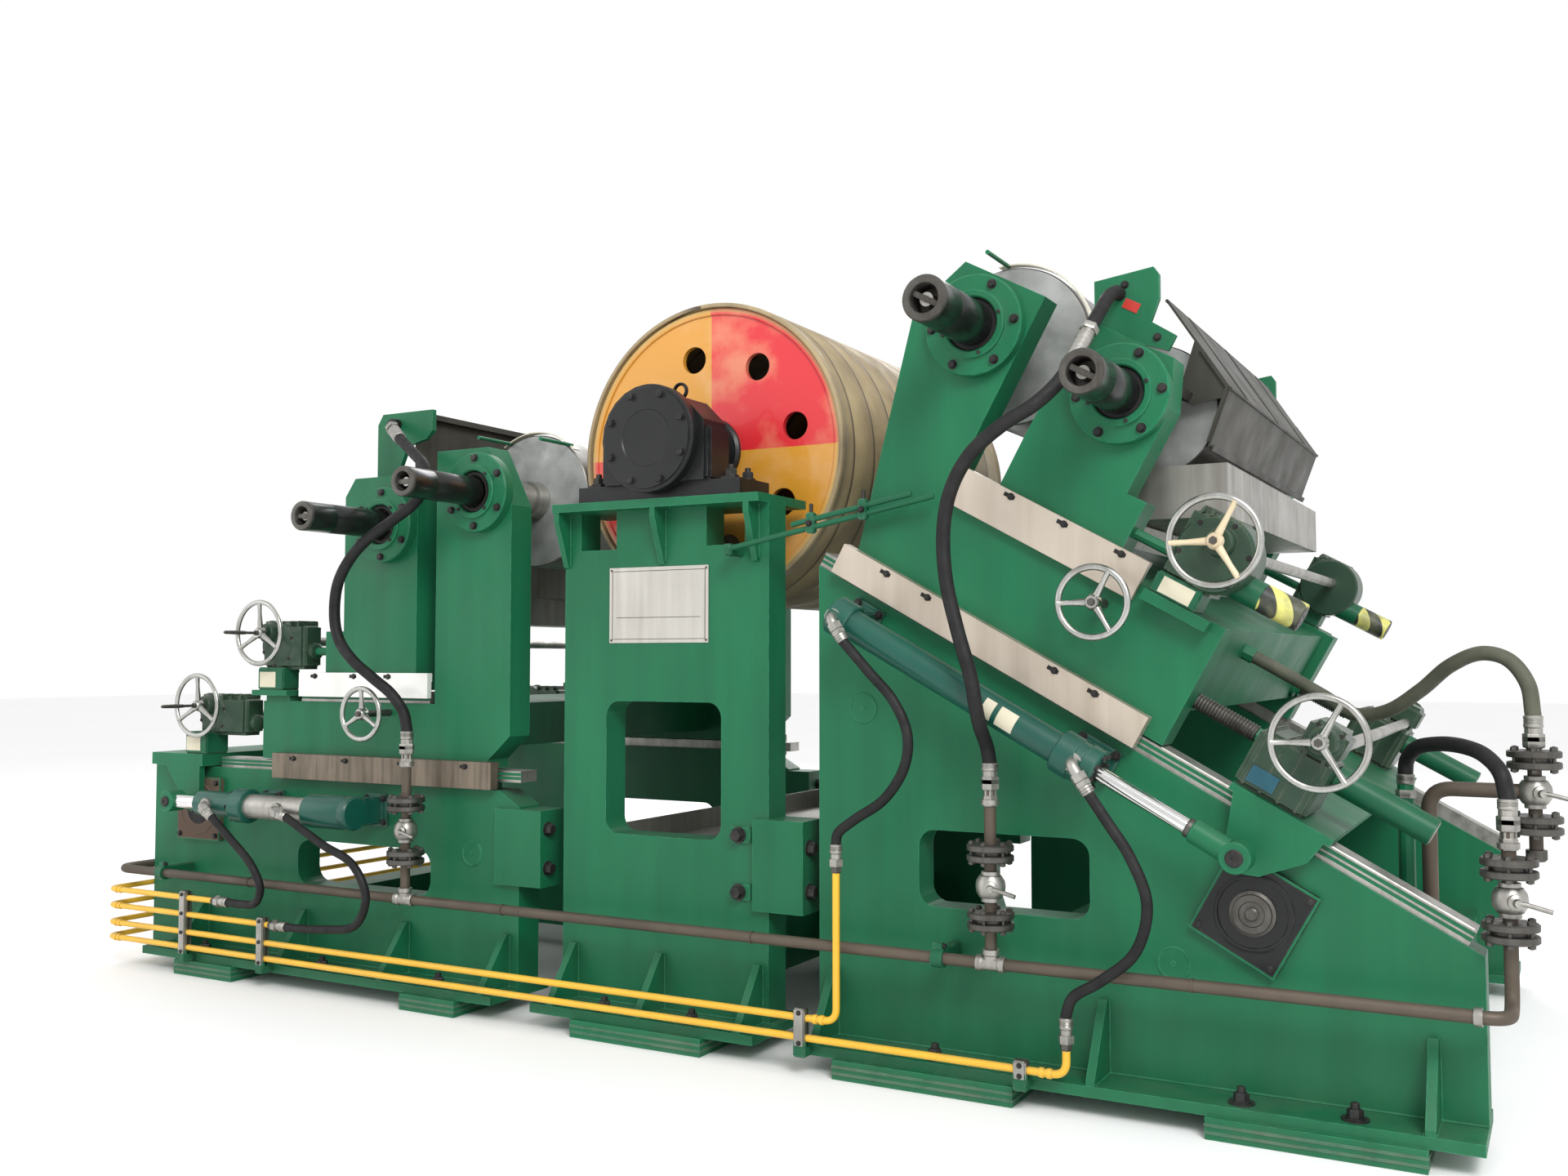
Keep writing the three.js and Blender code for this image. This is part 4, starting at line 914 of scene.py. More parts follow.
for name, spec in handwheels.items():
    x, z, radius = spec["x"], spec["z"], spec["radius"]
    y = -(halfDepth + spec["out"])
    piece = bmesh.new()
    rim = [(radius + 9.5 * math.cos(math.radians(a)), 8.5 * math.sin(math.radians(a))) for a in range(0,
        361, 24)]
    addTurned(piece, 0, (x, y, z), (0, 1, 0), rim, 72)
    addTurned(piece, 1, (x, y - 17, z), (0, 1, 0), [(0, 0), (7, 0), (8, 2), (8, 5), (17, 5), (20, 9),
        (24, 26), (23, 35), (0, 35)], 40)
    addTurned(piece, 2, (x, y - 20, z), (0, 1, 0), [(0, 0), (10, 0), (11, 2), (11, 9), (0, 9)], 6)
    addTurned(piece, 2, (x, y, z), (0, 1, 0), [(0, 0), (12.5, 0), (12.5, spec["out"] - spec["shaft"] - 1),
        (0, spec["out"] - spec["shaft"] - 1)], 28)
    for across, up in ringSpots(3, 1, 90):
        out = Vector((across, 0, up))
        start = Vector((x, y + 6, z)) + out * 16
        finish = Vector((x, y, z)) + out * radius
        addTurned(piece, 1, start, finish - start, [(0, 0), (12, 0), (10.5, 14), (7.5, 0.5 * radius),
            (8.5, (finish - start).length - 8), (11, (finish - start).length),
            (0, (finish - start).length)], 20)
    if spec.get("grip"):
        addTurned(piece, 2, (x, y, z), (0, -1, 0), [(0, 0), (5.5, 0), (5.5, 60), (7, 66), (8, 100),
            (6.5, spec["grip"] - 6), (3, spec["grip"]), (0, spec["grip"])], 20)
    makePiece(name, piece, spec["place"], spec["node"] + "_body", [wheelSteel,
        spec.get("spokes", wheelSteel), castSteel], [spec["node"]])
print("handwheels done")


# Worm gear jacks.
def jackCase(piece, side, x0, x1, d0, d1, z0, z1, boss, bossOut, screw):
    low, high = depthSpan(side, d0, d1)
    round0 = 0.5 * (z1 - z0) - 2
    midX, midZ = x0 + round0 + 6, (z0 + z1) / 2
    addBlock(piece, 0, x0 + 8, x1 - 22, low + 6, high - 4, z0, z1 - 10, 16, 3)
    addTurned(piece, 0, (midX, depthAt(side, d1), midZ), (0, side, 0),
        [(0, 0), (round0 - 5, 0), (round0, 5), (round0, abs(d1 - d0) - 16), (round0 - 8, abs(d1 - d0) - 5),
        (0.55 * round0, abs(d1 - d0)), (0, abs(d1 - d0))], 56)
    for across, up in ringSpots(6, 0.86 * round0, 20):
        addBolt(piece, 1, (midX + across, depthAt(side, d0 + 12), midZ + up), (0, side, 0), 15, 10)
    for i in range(5):
        x = x0 + 34 + i * (x1 - x0 - 90) / 4
        addBlock(piece, 0, x - 4, x + 4, low + 3, high - 3, z1 - 22, z1 - 1, 3)
    addTurned(piece, 0, (boss[0], depthAt(side, d0 + 16), boss[1]), (0, side, 0),
        [(0, 0), (50, 0), (50, 10), (42, 16), (38, bossOut - 4), (35, bossOut), (14, bossOut),
        (0, bossOut)], 44)
    screwX, screwY, screwZ, screwR = screw
    addTurned(piece, 0, (screwX, screwY, screwZ), (1, 0, 0), [(0, 0), (screwR + 22, 0), (screwR + 22, 14),
        (screwR + 14, 18), (screwR + 12, 40), (screwR + 2, 46), (0, 46)], 44)
    for across, up in ringSpots(4, screwR + 15, 45):
        addBolt(piece, 1, (screwX + 14, screwY + across, screwZ + up), (1, 0, 0), 13, 8)


shaftReach = 960  # half the length of the cross shafts between the jacks
jackParts = [olive, blackBolt, steel, labelCream, tagBlue, greenSmall, warningStripes]
piece = bmesh.new()
for end, side in ends:
    low, high = depthSpan(side, -28, 60)
    addBlock(piece, 5, -1900, -1760, low, high, 1109.5, 1198, 5)
    jackCase(piece, side, -1905, -1640, -20, 90, 1190, 1380, (-1843, 1332), 41,
        (-1688, depthAt(side, 40), 1260, 20))
    addBlock(piece, 3, -1888, -1800, depthAt(side, -28) - 0.8, depthAt(side, -28) + 0.8, 1120, 1180, 0.4)
addRod(piece, 2, (-1830, -shaftReach, 1300), (-1830, shaftReach, 1300), 18)
makePiece("leftUpperJacks", piece, machine, "left_carriage", jackParts, ["left_upper_jack"])
piece = bmesh.new()
for end, side in ends:
    low, high = depthSpan(side, -50, 60)
    addBlock(piece, 5, -2290, -2165, low, high, 849.5, 938, 5)
    jackCase(piece, side, -2260, -1960, -20, 90, 925, 1090, (-2194, 1044), 41,
        (-2006, depthAt(side, 40), 975, 20))
    addBlock(piece, 3, -2282, -2200, depthAt(side, -50) - 0.8, depthAt(side, -50) + 0.8, 862, 918, 0.4)
addRod(piece, 2, (-2190, -shaftReach, 1000), (-2190, shaftReach, 1000), 18)
makePiece("leftLowerJacks", piece, machine, "left_ram_body", jackParts, ["left_lower_jack"])
piece = bmesh.new()
for end, side in ends:
    low, high = depthSpan(side, -55, 60)
    addBlock(piece, 5, 962, 1100, low, high, 416.5, 478, 5)
    jackCase(piece, side, 960, 1152, -60, 105, 470, 690, (1076, 616), 51,
        (1110, depthAt(side, 60), 530, 20))
    tube = depthAt(side, 60)
    addBlock(piece, 3, 985, 1080, depthAt(side, -55) - 0.8, depthAt(side, -55) + 0.8, 424, 470, 0.4)
    addRod(piece, 5, (1140, tube, 530), (1220, tube, 530), 40, 40)
    addRod(piece, 6, (1219, tube, 530), (1335, tube, 530), 40.5, 40)
    addTurned(piece, 1, (1335.2, tube, 530), (1, 0, 0), [(0, 0), (33, 0), (33, 1.5), (0, 1.5)], 32)
addRod(piece, 2, (1075, -shaftReach, 600), (1075, shaftReach, 600), 18)
makePiece("rightUpperJacks", piece, incline, "right_carriage", jackParts,
    ["right_upper_jack"])
piece = bmesh.new()
for end, side in ends:
    low, high = depthSpan(side, -40, 220)
    addBlock(piece, 0, 1396, 1598, low + 3, high, 71.5, 236, 12, 3)
    for i in range(4):
        x = 1420 + i * 50
        addBlock(piece, 0, x - 5, x + 5, low, high, 76, 243, 4)
    addBlock(piece, 0, 1492, 1600, *depthSpan(side, -40, 120), 232, 325, 16, 3)
    addBlock(piece, 4, 1424, 1500, depthAt(side, -40) - 1.2, depthAt(side, -40) + 1, 92, 138, 0.5)
    addTurned(piece, 0, (1548, depthAt(side, -38), 282), (0, side, 0),
        [(0, 0), (50, 0), (50, 8), (42, 14), (38, 52), (35, 57), (0, 57)], 44)
    addRod(piece, 5, (1599, depthAt(side, 150), 186), (1872, depthAt(side, 150), 186), 38, 40)
    addTurned(piece, 2, (1872, depthAt(side, 150), 186), (1, 0, 0), [(0, 0), (32, 0), (30, 2.5), (0, 2.5)],
        32)
    for across, up in ringSpots(4, 43, 45):
        addBolt(piece, 1, (1548 + across, depthAt(side, -46), 282 + up), (0, side, 0), 12, 7)
addRod(piece, 2, (1560, -shaftReach, 250), (1560, shaftReach, 250), 18)
makePiece("rightLowerJacks", piece, incline, "right_ram_body", jackParts,
    ["right_lower_jack"])
print("jacks done")


# Hydraulic cylinders.
def elbowShape(corners, radius):
    tube = tubeShape(bentPath(corners, 24, 10), radius - 4, 24)
    start, mouth = Vector(corners[0]), Vector(corners[-1])
    back = (Vector(corners[-2]) - mouth).normalized()
    collar = turnedShape(mouth, back, [(0, 0), (radius, 0), (radius + 2, 2), (radius + 2, 14), (radius, 16),
        (0, 16)], 6)
    port = turnedShape(start + Vector((0, math.copysign(44, corners[1][1] - start.y), 0)),
        Vector(corners[1]) - start, [(0, 0), (radius + 6, 0), (radius + 6, 12), (0, 12)], 28)
    return joined(tube, collar, port)


cylinderParts = [teal, steel, blackBolt, labelCream, seatDark]
for end, side in ends:
    y, low = depthAt(side, -150), -75
    piece = bmesh.new()
    addTurned(piece, 0, (190, y, low), (1, 0, 0), [(0, 0), (54, 0), (60, 6), (60, 66), (56, 70), (0, 70)],
        48)
    addTurned(piece, 0, (190, y, low), (1, 0, 0), [(0, 68), (45, 68), (45, 788), (24, 788), (24, 240),
        (0, 240)], 56)
    addTurned(piece, 0, (190, y, low), (1, 0, 0), [(24, 786), (56, 786), (62, 792), (62, 842), (58, 846),
        (58, 868), (62, 872), (62, 905), (57, 910), (24, 910), (24, 786)], 56)
    addTurned(piece, 4, (190, y, low), (1, 0, 0), [(23, 909), (34, 909), (31, 914), (23, 914), (23, 909)],
        40)
    for x0, x1 in ((198, 252), (1000, 1080)):
        addBlock(piece, 0, x0, x1, y, depthAt(side, -0.5), -113, -37, 5)
        addBlock(piece, 0, x0 - 26, x1 + 26, *depthSpan(side, -18, -0.4), -128, -22, 4)
        for x in (x0 - 13, x1 + 13):
            for n in (-114, -36):
                addBolt(piece, 2, (x, depthAt(side, -18), n), (0, side, 0), 20, 13)
    for across, up in ringSpots(8, 50, 22.5):
        addBolt(piece, 2, (1100, y + across, low + up), (1, 0, 0), 14, 9)
    for s, length in ((742, 34), (792, 56)):
        addTurned(piece, 3, (s, y, low), (1, 0, 0), [(44.5, 0), (45.8, 0), (45.8, length), (44.5, length),
            (44.5, 0)], 14, 75, -90 - 40 if side < 0 else 55)
    if side < 0:
        addPart(piece, elbowShape([(214, y, low), (214, -1255, low), (270, -1255, -105)], 20), 1)
        addPart(piece, elbowShape([(1040, y, low), (1040, -1255, low), (1104, -1255, -110)], 20), 1)
    else:
        for s in (214, 1040):
            addTurned(piece, 1, (s, y + 44, low), (0, 1, 0), [(0, 0), (24, 0), (24, 22), (18, 26), (0, 26)],
                6)
    makePiece("rightCylinder" + end, piece, incline, "fixed_frame", cylinderParts,
        ["right_cylinder_" + end.lower()])

    z = 670
    piece = bmesh.new()
    addTurned(piece, 0, (-2063, y, z), (1, 0, 0), [(28, 0), (42, 0), (48, 6), (48, 210), (58, 212),
        (65, 218), (65, 276), (60, 282), (46, 284), (28, 284), (28, 0)], 56)
    addTurned(piece, 5, (-2063, y, z), (1, 0, 0), [(28, 270), (46, 270), (46, 600), (28, 600), (28, 270)],
        56)
    addTurned(piece, 0, (-1467, y, z), (1, 0, 0), [(0, 0), (50, 0), (62, 10), (62, 190), (60, 194),
        (60, 200), (62, 204), (62, 228), (56, 235), (0, 235)], 56)
    for x0, x1, z0, z1 in ((-1300, -1240, 620, 720), (-1845, -1788, 630, 710)):
        addBlock(piece, 0, x0, x1, y, depthAt(side, -0.5), z0, z1, 5)
        addBlock(piece, 0, x0 - 24, x1 + 24, *depthSpan(side, -16, -0.4), z0 - 10, z1 + 10, 4)
        for x in (x0 - 12, x1 + 12):
            for n in (z0 + 6, z1 - 6):
                addBolt(piece, 2, (x, depthAt(side, -16), n), (0, side, 0), 18, 12)
    for across, up in ringSpots(6, 56):
        addBolt(piece, 2, (-1853, y + across, z + up), (-1, 0, 0), 12, 8)
    if side < 0:
        addPart(piece, elbowShape([(-1975, y, z), (-1975, -1255, z), (-1928, -1255, 640)], 20), 1)
        addPart(piece, elbowShape([(-1590, y, z), (-1590, -1255, z), (-1530, -1255, 655)], 20), 1)
    makePiece("leftCylinder" + end, piece, machine, "fixed_frame", [*cylinderParts, steel],
        ["left_cylinder_" + end.lower()])

for name, place, body, low, rod, pinX, pinR in (("rightRods", incline, "right_ram_body", -75,
        (730, 1392, 22), 1515, 22), ("leftRods", machine, "left_ram_body", 670, (-2205, -1765, 27), -2227,
        20)):
    piece = bmesh.new()
    for end, side in ends:
        y = depthAt(side, -150)
        addRod(piece, 0, (rod[0], y, low), (rod[1], y, low), rod[2], 40)
        addTurned(piece, 1, (pinX, depthAt(side, -183), low), (0, side, 0),
            [(0, 0), (pinR + 1, 0), (pinR + 1, 8), (pinR - 2, 11), (6, 11), (5, 8), (0, 8)], 36)
        addTurned(piece, 2, (pinX, depthAt(side, -117), low), (0, side, 0),
            [(pinR, 0), (41, 0), (41, 67), (38, 70), (pinR, 70), (pinR, 0)], 44)
        if name == "rightRods":
            addTurned(piece, 2, (1384, y, low), (1, 0, 0), [(0, 0), (28, 0), (33, 5), (33, 100), (0, 100)],
                44)
            addTurned(piece, 3, (1384, y, low), (-1, 0, 0), [(0, 0), (27, 0), (27, 10), (24, 14), (0, 14)],
                36)
    makePiece(name, piece, place, body, [chrome, blackBolt, green, castSteel])

piece = bmesh.new()
for end, side in ends:
    outline = [(0, 0)]
    for i in range(20):
        outline += [(20.8, i * 9.4), (24.6, i * 9.4 + 3), (24.6, i * 9.4 + 5.6), (20.8, i * 9.4 + 9)]
    addTurned(piece, 0, (1180, depthAt(side, 150), 186), (1, 0, 0), [*outline, (0, 189)], 28)
    addTurned(piece, 1, (1150, depthAt(side, 150), 186), (1, 0, 0), [(0, 0), (46, 0), (46, 14), (32, 20),
        (32, 30), (0, 30)], 36)
makePiece("lowerJackScrews", piece, incline, "right_carriage", [castSteel, green], sharp=60)
print("cylinders done")


# Pipework.
def flangePairShape(x, y, z):
    parts = [turnedShape((x, y, z), (0, 0, 1), [(0, -24), (62, -24), (66, -21), (66, -8), (64, -6),
        (44, -5), (44, 5), (64, 6), (66, 8), (66, 21), (62, 24), (0, 24)], 44)]
    for across, along in ringSpots(6, 53, 30):
        bx, by = x + across, y + along
        parts.append(turnedShape((bx, by, z - 34), (0, 0, 1), [(0, 0), (5, 0), (5, 68), (0, 68)], 10))
        for low in (z - 32, z + 24):
            parts.append(turnedShape((bx, by, low), (0, 0, 1), [(0, 0), (9.5, 0), (9.5, 8), (0, 8)], 6))
    return joined(*parts)


def ballValveShape(x, y, z, reach):
    body = turnedShape((x, y, z), (0, 0, 1), [(0, -42), (26, -42), (26, -32), (31, -30), (40, -16), (42, 0),
        (40, 16), (31, 30), (26, 32), (26, 42), (0, 42)], 36)
    stem = turnedShape((x, y, z), (0.35, -1, 0), [(0, 0), (19, 0), (19, 48), (11, 52), (9, 66), (0, 66)],
        24)
    way = Vector((0.35, -1, 0)).normalized()
    root = Vector((x, y, z)) + way * 60
    lever = tubeShape(bentPath([root, root + Vector((14, 0, 0)), root + Vector((reach, -6, -14))], 6, 4), 6,
        14)
    return joined(body, stem, lever)


def branchParts(piece, x, y, base, lower, upper, top):
    middle = (lower + upper) / 2
    addRod(piece, 0, (x, y, base), (x, y, top - 40), 17, 28)
    for z in (lower, upper):
        addPart(piece, flangePairShape(x, y, z), 1)
    addPart(piece, ballValveShape(x, y, middle, 74), 2)
    addTurned(piece, 2, (x, y, top - 100), (0, 0, 1), [(0, 0), (22, 0), (22, 26), (19, 30), (19, 44),
        (25, 46), (27, 50), (27, 74), (25, 78), (22, 80), (22, 100), (0, 100)], 6)
    addTurned(piece, 2, (x, y, top - 96), (0, 0, 1), [(0, 0), (26, 0), (26, 14), (0, 14)], 32)


pipeParts = [rust, castSteel, steel, greenSmall, blackBolt]
header = {"y": -1165, "z": 380, "left": -2565, "right": 2492, "radius": 17, "bend": 60}
y, z, left, right = header["y"], header["z"], header["left"], header["right"]
piece = bmesh.new()
addTube(piece, 0, bentPath([(left, 1000, z), (left, y, z), (right, y, z), (right, -1030, z),
    (right, -1030, 500)], header["bend"]), header["radius"], 28)
branchParts(piece, -1003, y, z, 529, 716, 947)
branchParts(piece, 1198, y, z, 501, 688, 918)
branchParts(piece, right, -1030, 480, 564, 720, 863)
for x in (-1003, 1198):
    addTurned(piece, 2, (x - 42, y, z), (1, 0, 0), [(0, 0), (21, 0), (23, 2), (23, 16), (20, 20), (20, 64),
        (23, 68), (23, 82), (21, 84), (0, 84)], 32)
    addTurned(piece, 2, (x, y, z), (0, 0, 1), [(0, 0), (20, 0), (20, 22), (24, 26), (24, 40), (0, 40)], 32)
for x in (-1800, -560, 420, 1750):
    addTurned(piece, 0, (x, y, z), (1, 0, 0), [(0, 0), (18.6, 0), (19.2, 3), (18.6, 6), (0, 6)], 32)
addTurned(piece, 2, (right - 78, y, z), (1, 0, 0), [(0, 0), (22, 0), (23, 2), (23, 20), (0, 20)], 32)
for x in (-2300, 1040):
    addBlock(piece, 3, x - 15, x + 15, y, -1030.5, z - 26, z + 26, 3)
    addTurned(piece, 3, (x - 17, y, z), (1, 0, 0), [(17.3, 0), (27, 0), (27, 34), (17.3, 34), (17.3, 0)],
        32)
    addBlock(piece, 3, x - 15, x + 15, y - 9, y + 9, z + 22, z + 44, 3)
    addBolt(piece, 4, (x + 15, y, z + 35), (1, 0, 0), 12, 8)
makePiece("supplyPipe", piece, machine, "fixed_frame", pipeParts, ["supply_header"])

piece = bmesh.new()
branchParts(piece, 2545, -730, 722, 797, 967, 1052)
addTube(piece, 0, bentPath([(2545, -730, 882), (2290, -730, 882), (2290, -730, 300.5)], header["bend"]), 20,
    28)
addTurned(piece, 1, (2545, -730, 702), (0, 0, 1), [(0, 0), (20, 0), (26, 6), (26, 30), (0, 30)], 28)
addTurned(piece, 1, (2290, -730, 300.5), (0, 0, 1), [(0, 0), (52, 0), (52, 10), (26, 13), (24, 24),
    (0, 24)], 40)
makePiece("returnPipe", piece, machine, "fixed_frame", pipeParts, ["return_stack"])

lines = {"y": -1210, "radius": 11, "left": -2562, "bend": 40}
y, left = lines["y"], lines["left"]
piece = bmesh.new()
for corners in ([(left, 1000, 114), (left, y, 114), (1427, y, 114), (1427, y, 190)],
        [(left, 1000, 172), (left, y, 172), (735, y, 172), (735, y, 612)],
        [(left, 1000, 240), (left, y, 240), (-1637, y, 240)], [(left, 1000, 304), (left, y, 304),
        (-1952, y, 304)]):
    addTube(piece, 0, bentPath(corners, lines["bend"]), lines["radius"], 24)
    for corner in corners[1:-1]:
        for x in (40, 62):
            step = x if corner[0] < 0 else -x
            addTurned(piece, 0, (corner[0] + step, y, corner[2]), (1 if step > 0 else -1, 0, 0),
                [(0, 0), (13, 0), (14, 2), (14, 12), (13, 14), (0, 14)], 24)
for spot, way in (((1427, y, 182), (0, 0, 1)), ((735, y, 604), (0, 0, 1)), ((-1947, y, 304), (1, 0, 0)),
        ((-1633, y, 240), (1, 0, 0))):
    addTurned(piece, 1, spot, way, [(0, 0), (14, 0), (17, 3), (17, 26), (14, 29), (14, 34), (16, 36),
        (16, 56), (14, 58), (0, 58)], 6)
for x, z0, z1 in ((-2104, 88, 330), (-1671, 88, 265), (619, 88, 200), (1300, 88, 140)):
    addBlock(piece, 2, x - 18, x + 18, y - 19, y + 19, z0, z1, 4)
    addBlock(piece, 1, x - 20, x + 20, y - 5, y + 5, z0 - 1, z1 + 1, 1)
    addBlock(piece, 3, x - 20, x + 20, y - 18, -1175.5, 58, z0 + 20, 4)
    count = max(2, round((z1 - z0) / 58))
    for i in range(count):
        spot = (x, y - 18, z0 + 12 + i * (z1 - z0 - 24) / (count - 1))
        addBolt(piece, 4, spot, (0, -1, 0), 11, 7)
makePiece("pressureLines", piece, machine, "fixed_frame", [yellow, castSteel, steel, greenSmall, blackBolt],
    ["hydraulic_lines"])
print("pipework done")


# Sheet covers over the ways, with bolts in slots.
def coverParts(piece, side, x0, x1, z0, z1, out, back, lip, slots, slotHeight):
    outline = [(-out - 1.5, z0 - 1.5), (-out - 1.5, z1 + 1.5), (back, z1 + 1.5), (back, z1 - lip),
        (-4.5, z1 - lip), (-4.5, z0 - 1.5)]
    addPart(piece, profileShape(side, outline, x0 - 1.2, x1 + 1.2, 1), 0)
    for x in slots:
        low, high = depthSpan(side, -out - 2.2, -out)
        # Painted shade: each slot is a thin black plate on the cover face in place of the dark opening.
        addBlock(piece, 1, x - 19, x + 19, low, high, slotHeight - 7, slotHeight + 7, 1)
        addBolt(piece, 2, (x + 5, depthAt(side, -out - 2), slotHeight), (0, side, 0), 15, 8)


covers = {
    "leftLowerCover": {"place": machine, "body": "left_carriage", "span": (-1793, -696, 772, 865),
    "out": 42, "lip": 22, "finish": coverBrown, "slots": (-1680, -1405, -1120, -820), "at": 848},
    "leftUpperCover": {"place": machine, "body": "left_slide", "span": (-1671, -1013, 1088, 1177),
    "out": 26, "lip": 30, "finish": coverWhite, "slots": (-1590, -1385, -1210), "at": 1165},
    "rightLowerCover": {"place": incline, "body": "right_carriage", "span": (68, 1126, 12, 105), "out": 42,
    "lip": 26, "finish": coverCream, "slots": (233, 385, 828, 960), "at": 90},
    "rightUpperCover": {"place": incline, "body": "right_slide", "span": (293, 925, 366, 480), "out": 26,
    "lip": 16, "finish": coverCream, "slots": (470, 650, 838), "at": 466},
}
for name, spec in covers.items():
    piece = bmesh.new()
    for end, side in ends:
        coverParts(piece, side, *spec["span"], spec["out"], -0.4, spec["lip"], spec["slots"], spec["at"])
    makePiece(name, piece, spec["place"], spec["body"], [spec["finish"], seatDark, blackBolt])


# Machined ways with two grooves.
def railShape(side, x0, x1, base, top):
    third = (top - base) / 3
    outline = [(92.5, base), (7, base), (7, base + third - 4), (11, base + third), (11, base + third + 3),
        (7, base + third + 7), (7, top - third - 3), (11, top - third), (11, top - third + 4),
        (7, top - third + 8), (7, top - 2), (9, top + 1), (92.5, top + 1)]
    return profileShape(side, outline, x0, x1)


for name, place, body, x0, x1, base, top in (("leftWays", machine, "fixed_frame", -2141, -600, 796, 835),
        ("rightWays", incline, "fixed_frame", 0, 2071, 0, 45), ("leftUpperWays", machine, "left_carriage",
        -1691, -1029, 1067, 1108), ("rightUpperWays", incline, "right_carriage", 319, 901, 416, 452)):
    piece = bmesh.new()
    for end, side in ends:
        addPart(piece, railShape(side, x0, x1, base, top), 0)
    makePiece(name, piece, place, body, [steel])
print("covers and ways done")

# Name plate, blank.
plate = {"x0": -216, "x1": 180, "z0": 1284, "z1": 1538}
piece = bmesh.new()
x0, x1, z0, z1 = plate.values()
addBlock(piece, 0, x0, x1, -1033.5, -1030, z0, z1, 1.2)
for a, b, c, d in ((x0 + 12, x1 - 12, z1 - 14, z1 - 12), (x0 + 12, x1 - 12, z0 + 12, z0 + 14),
        (x0 + 12, x0 + 14, z0 + 12, z1 - 12), (x1 - 14, x1 - 12, z0 + 12, z1 - 12),
        (x0 + 30, x1 - 30, z0 + 84, z0 + 86)):
    addBlock(piece, 1, a, b, -1034.3, -1033, c, d, 0.2)
for x in (x0 + 9, x1 - 9):
    for z in (z0 + 9, z1 - 9):
        addTurned(piece, 1, (x, -1033.5, z), (0, -1, 0), [(0, 0), (4.5, 0), (3.5, 2), (0, 2.6)], 16)
makePiece("namePlate", piece, machine, "fixed_frame", [plateSilver, castSteel])

# Plugs, box bolts, flange bolts and feet on the frames.
piece = bmesh.new()
for end, side in ends:
    way = (0, side, 0)
    for x, z in ((738, 1080), (1672, 404), (-814, 537)):
        addTurned(piece, 0, (x, depthAt(side, 0), z), way, [(0, 0), (47, 0), (45, 3.5), (41, 4), (39, 2),
            (7, 2), (6, 5), (0, 5)], 48)
    for z in (670, 490):
        addBlock(piece, 0, 270, 342, *depthSpan(side, -9, 1), z - 26, z + 26, 3)
        addBolt(piece, 1, (300, depthAt(side, -9), z), way, 38, 26)
    for z in (640, 505):
        addBolt(piece, 1, (-490.5, depthAt(side, 20), z), (1, 0, 0), 36, 24)
        addBolt(piece, 1, (538.5, depthAt(side, 20), z), (1, 0, 0), 36, 24)
    for x in (-2090, -1450, -880, -160, 180, 1010, 1865, 2140):
        addTurned(piece, 1, (x, depthAt(side, -95), 84.5), (0, 0, 1), [(0, 0), (34, 0), (34, 5), (0, 5)],
            32)
        addBolt(piece, 1, (x, depthAt(side, -95), 89), (0, 0, 1), 36, 24)
        addRod(piece, 1, (x, depthAt(side, -95), 110), (x, depthAt(side, -95), 128), 11, 18)
    for x0, x1 in ((-2190, -1866), (-1000, -750), (-250, 250), (710, 1265), (1785, 2310)):
        for z in (13, 32):
            addBlock(piece, 2, x0 - 3, x1 + 3, *depthSpan(side, -163, 163), z, z + 9, 2)
    for x in (-395, 0, 358):
        addTube(piece, 0, [(x - 12, depthAt(side, -2), 1552), (x - 12, depthAt(side, -2), 1728)], 3.2, 8)
        addTube(piece, 0, [(x + 12, depthAt(side, -2), 1552), (x + 12, depthAt(side, -2), 1728)], 3.2, 8)
    for x, height in ((-350, 270), (0, 270), (372, 270), (-2200, 270), (-1640, 270), (-1120, 270),
            (-650, 270), (640, 290), (1480, 290), (2315, 290)):
        for step in (-14, 14):
            addTube(piece, 0, [(x + step, depthAt(side, -2), 88), (x + step, depthAt(side, -2),
                height - 6)], 3.6, 8)
            addTube(piece, 0, [(x + step, depthAt(side, -2), 87), (x + step, depthAt(side, -138), 87)], 3.6,
                8)
    for x0, x1 in ((-2398, -602), (-428, 428), (588, 2433)):
        addTube(piece, 0, [(x0, depthAt(side, -2), 87), (x1, depthAt(side, -2), 87)], 4, 8)
makePiece("frameTrim", piece, machine, "fixed_frame", [green, blackBolt, padFinish])

# Square bearing flanges low on the side frames.
piece = bmesh.new()
for end, side in ends:
    low, high = depthSpan(side, -26.5, -1)
    addBlock(piece, 0, -2361.5, -2108.5, low, high, 501.5, 754.5, 6)
    addTurned(piece, 0, (-2235, depthAt(side, -26), 628), (0, side, 0),
        [(0, 1), (60, 1), (64, 0), (94, 0), (98, 3), (102, 3), (104, 0), (0, -3)], 48)
    addTurned(piece, 1, (-2235, depthAt(side, -27), 628), (0, side, 0),
        [(0, 0), (62, 0), (62, 1.5), (0, 1.5)], 48)
    for x in (-2340, -2130):
        for z in (523, 733):
            addBolt(piece, 2, (x, depthAt(side, -26), z), (0, side, 0), 17, 10)
makePiece("leftSquareFlanges", piece, machine, "fixed_frame", [brownCast, seatDark, blackBolt])
piece = bmesh.new()
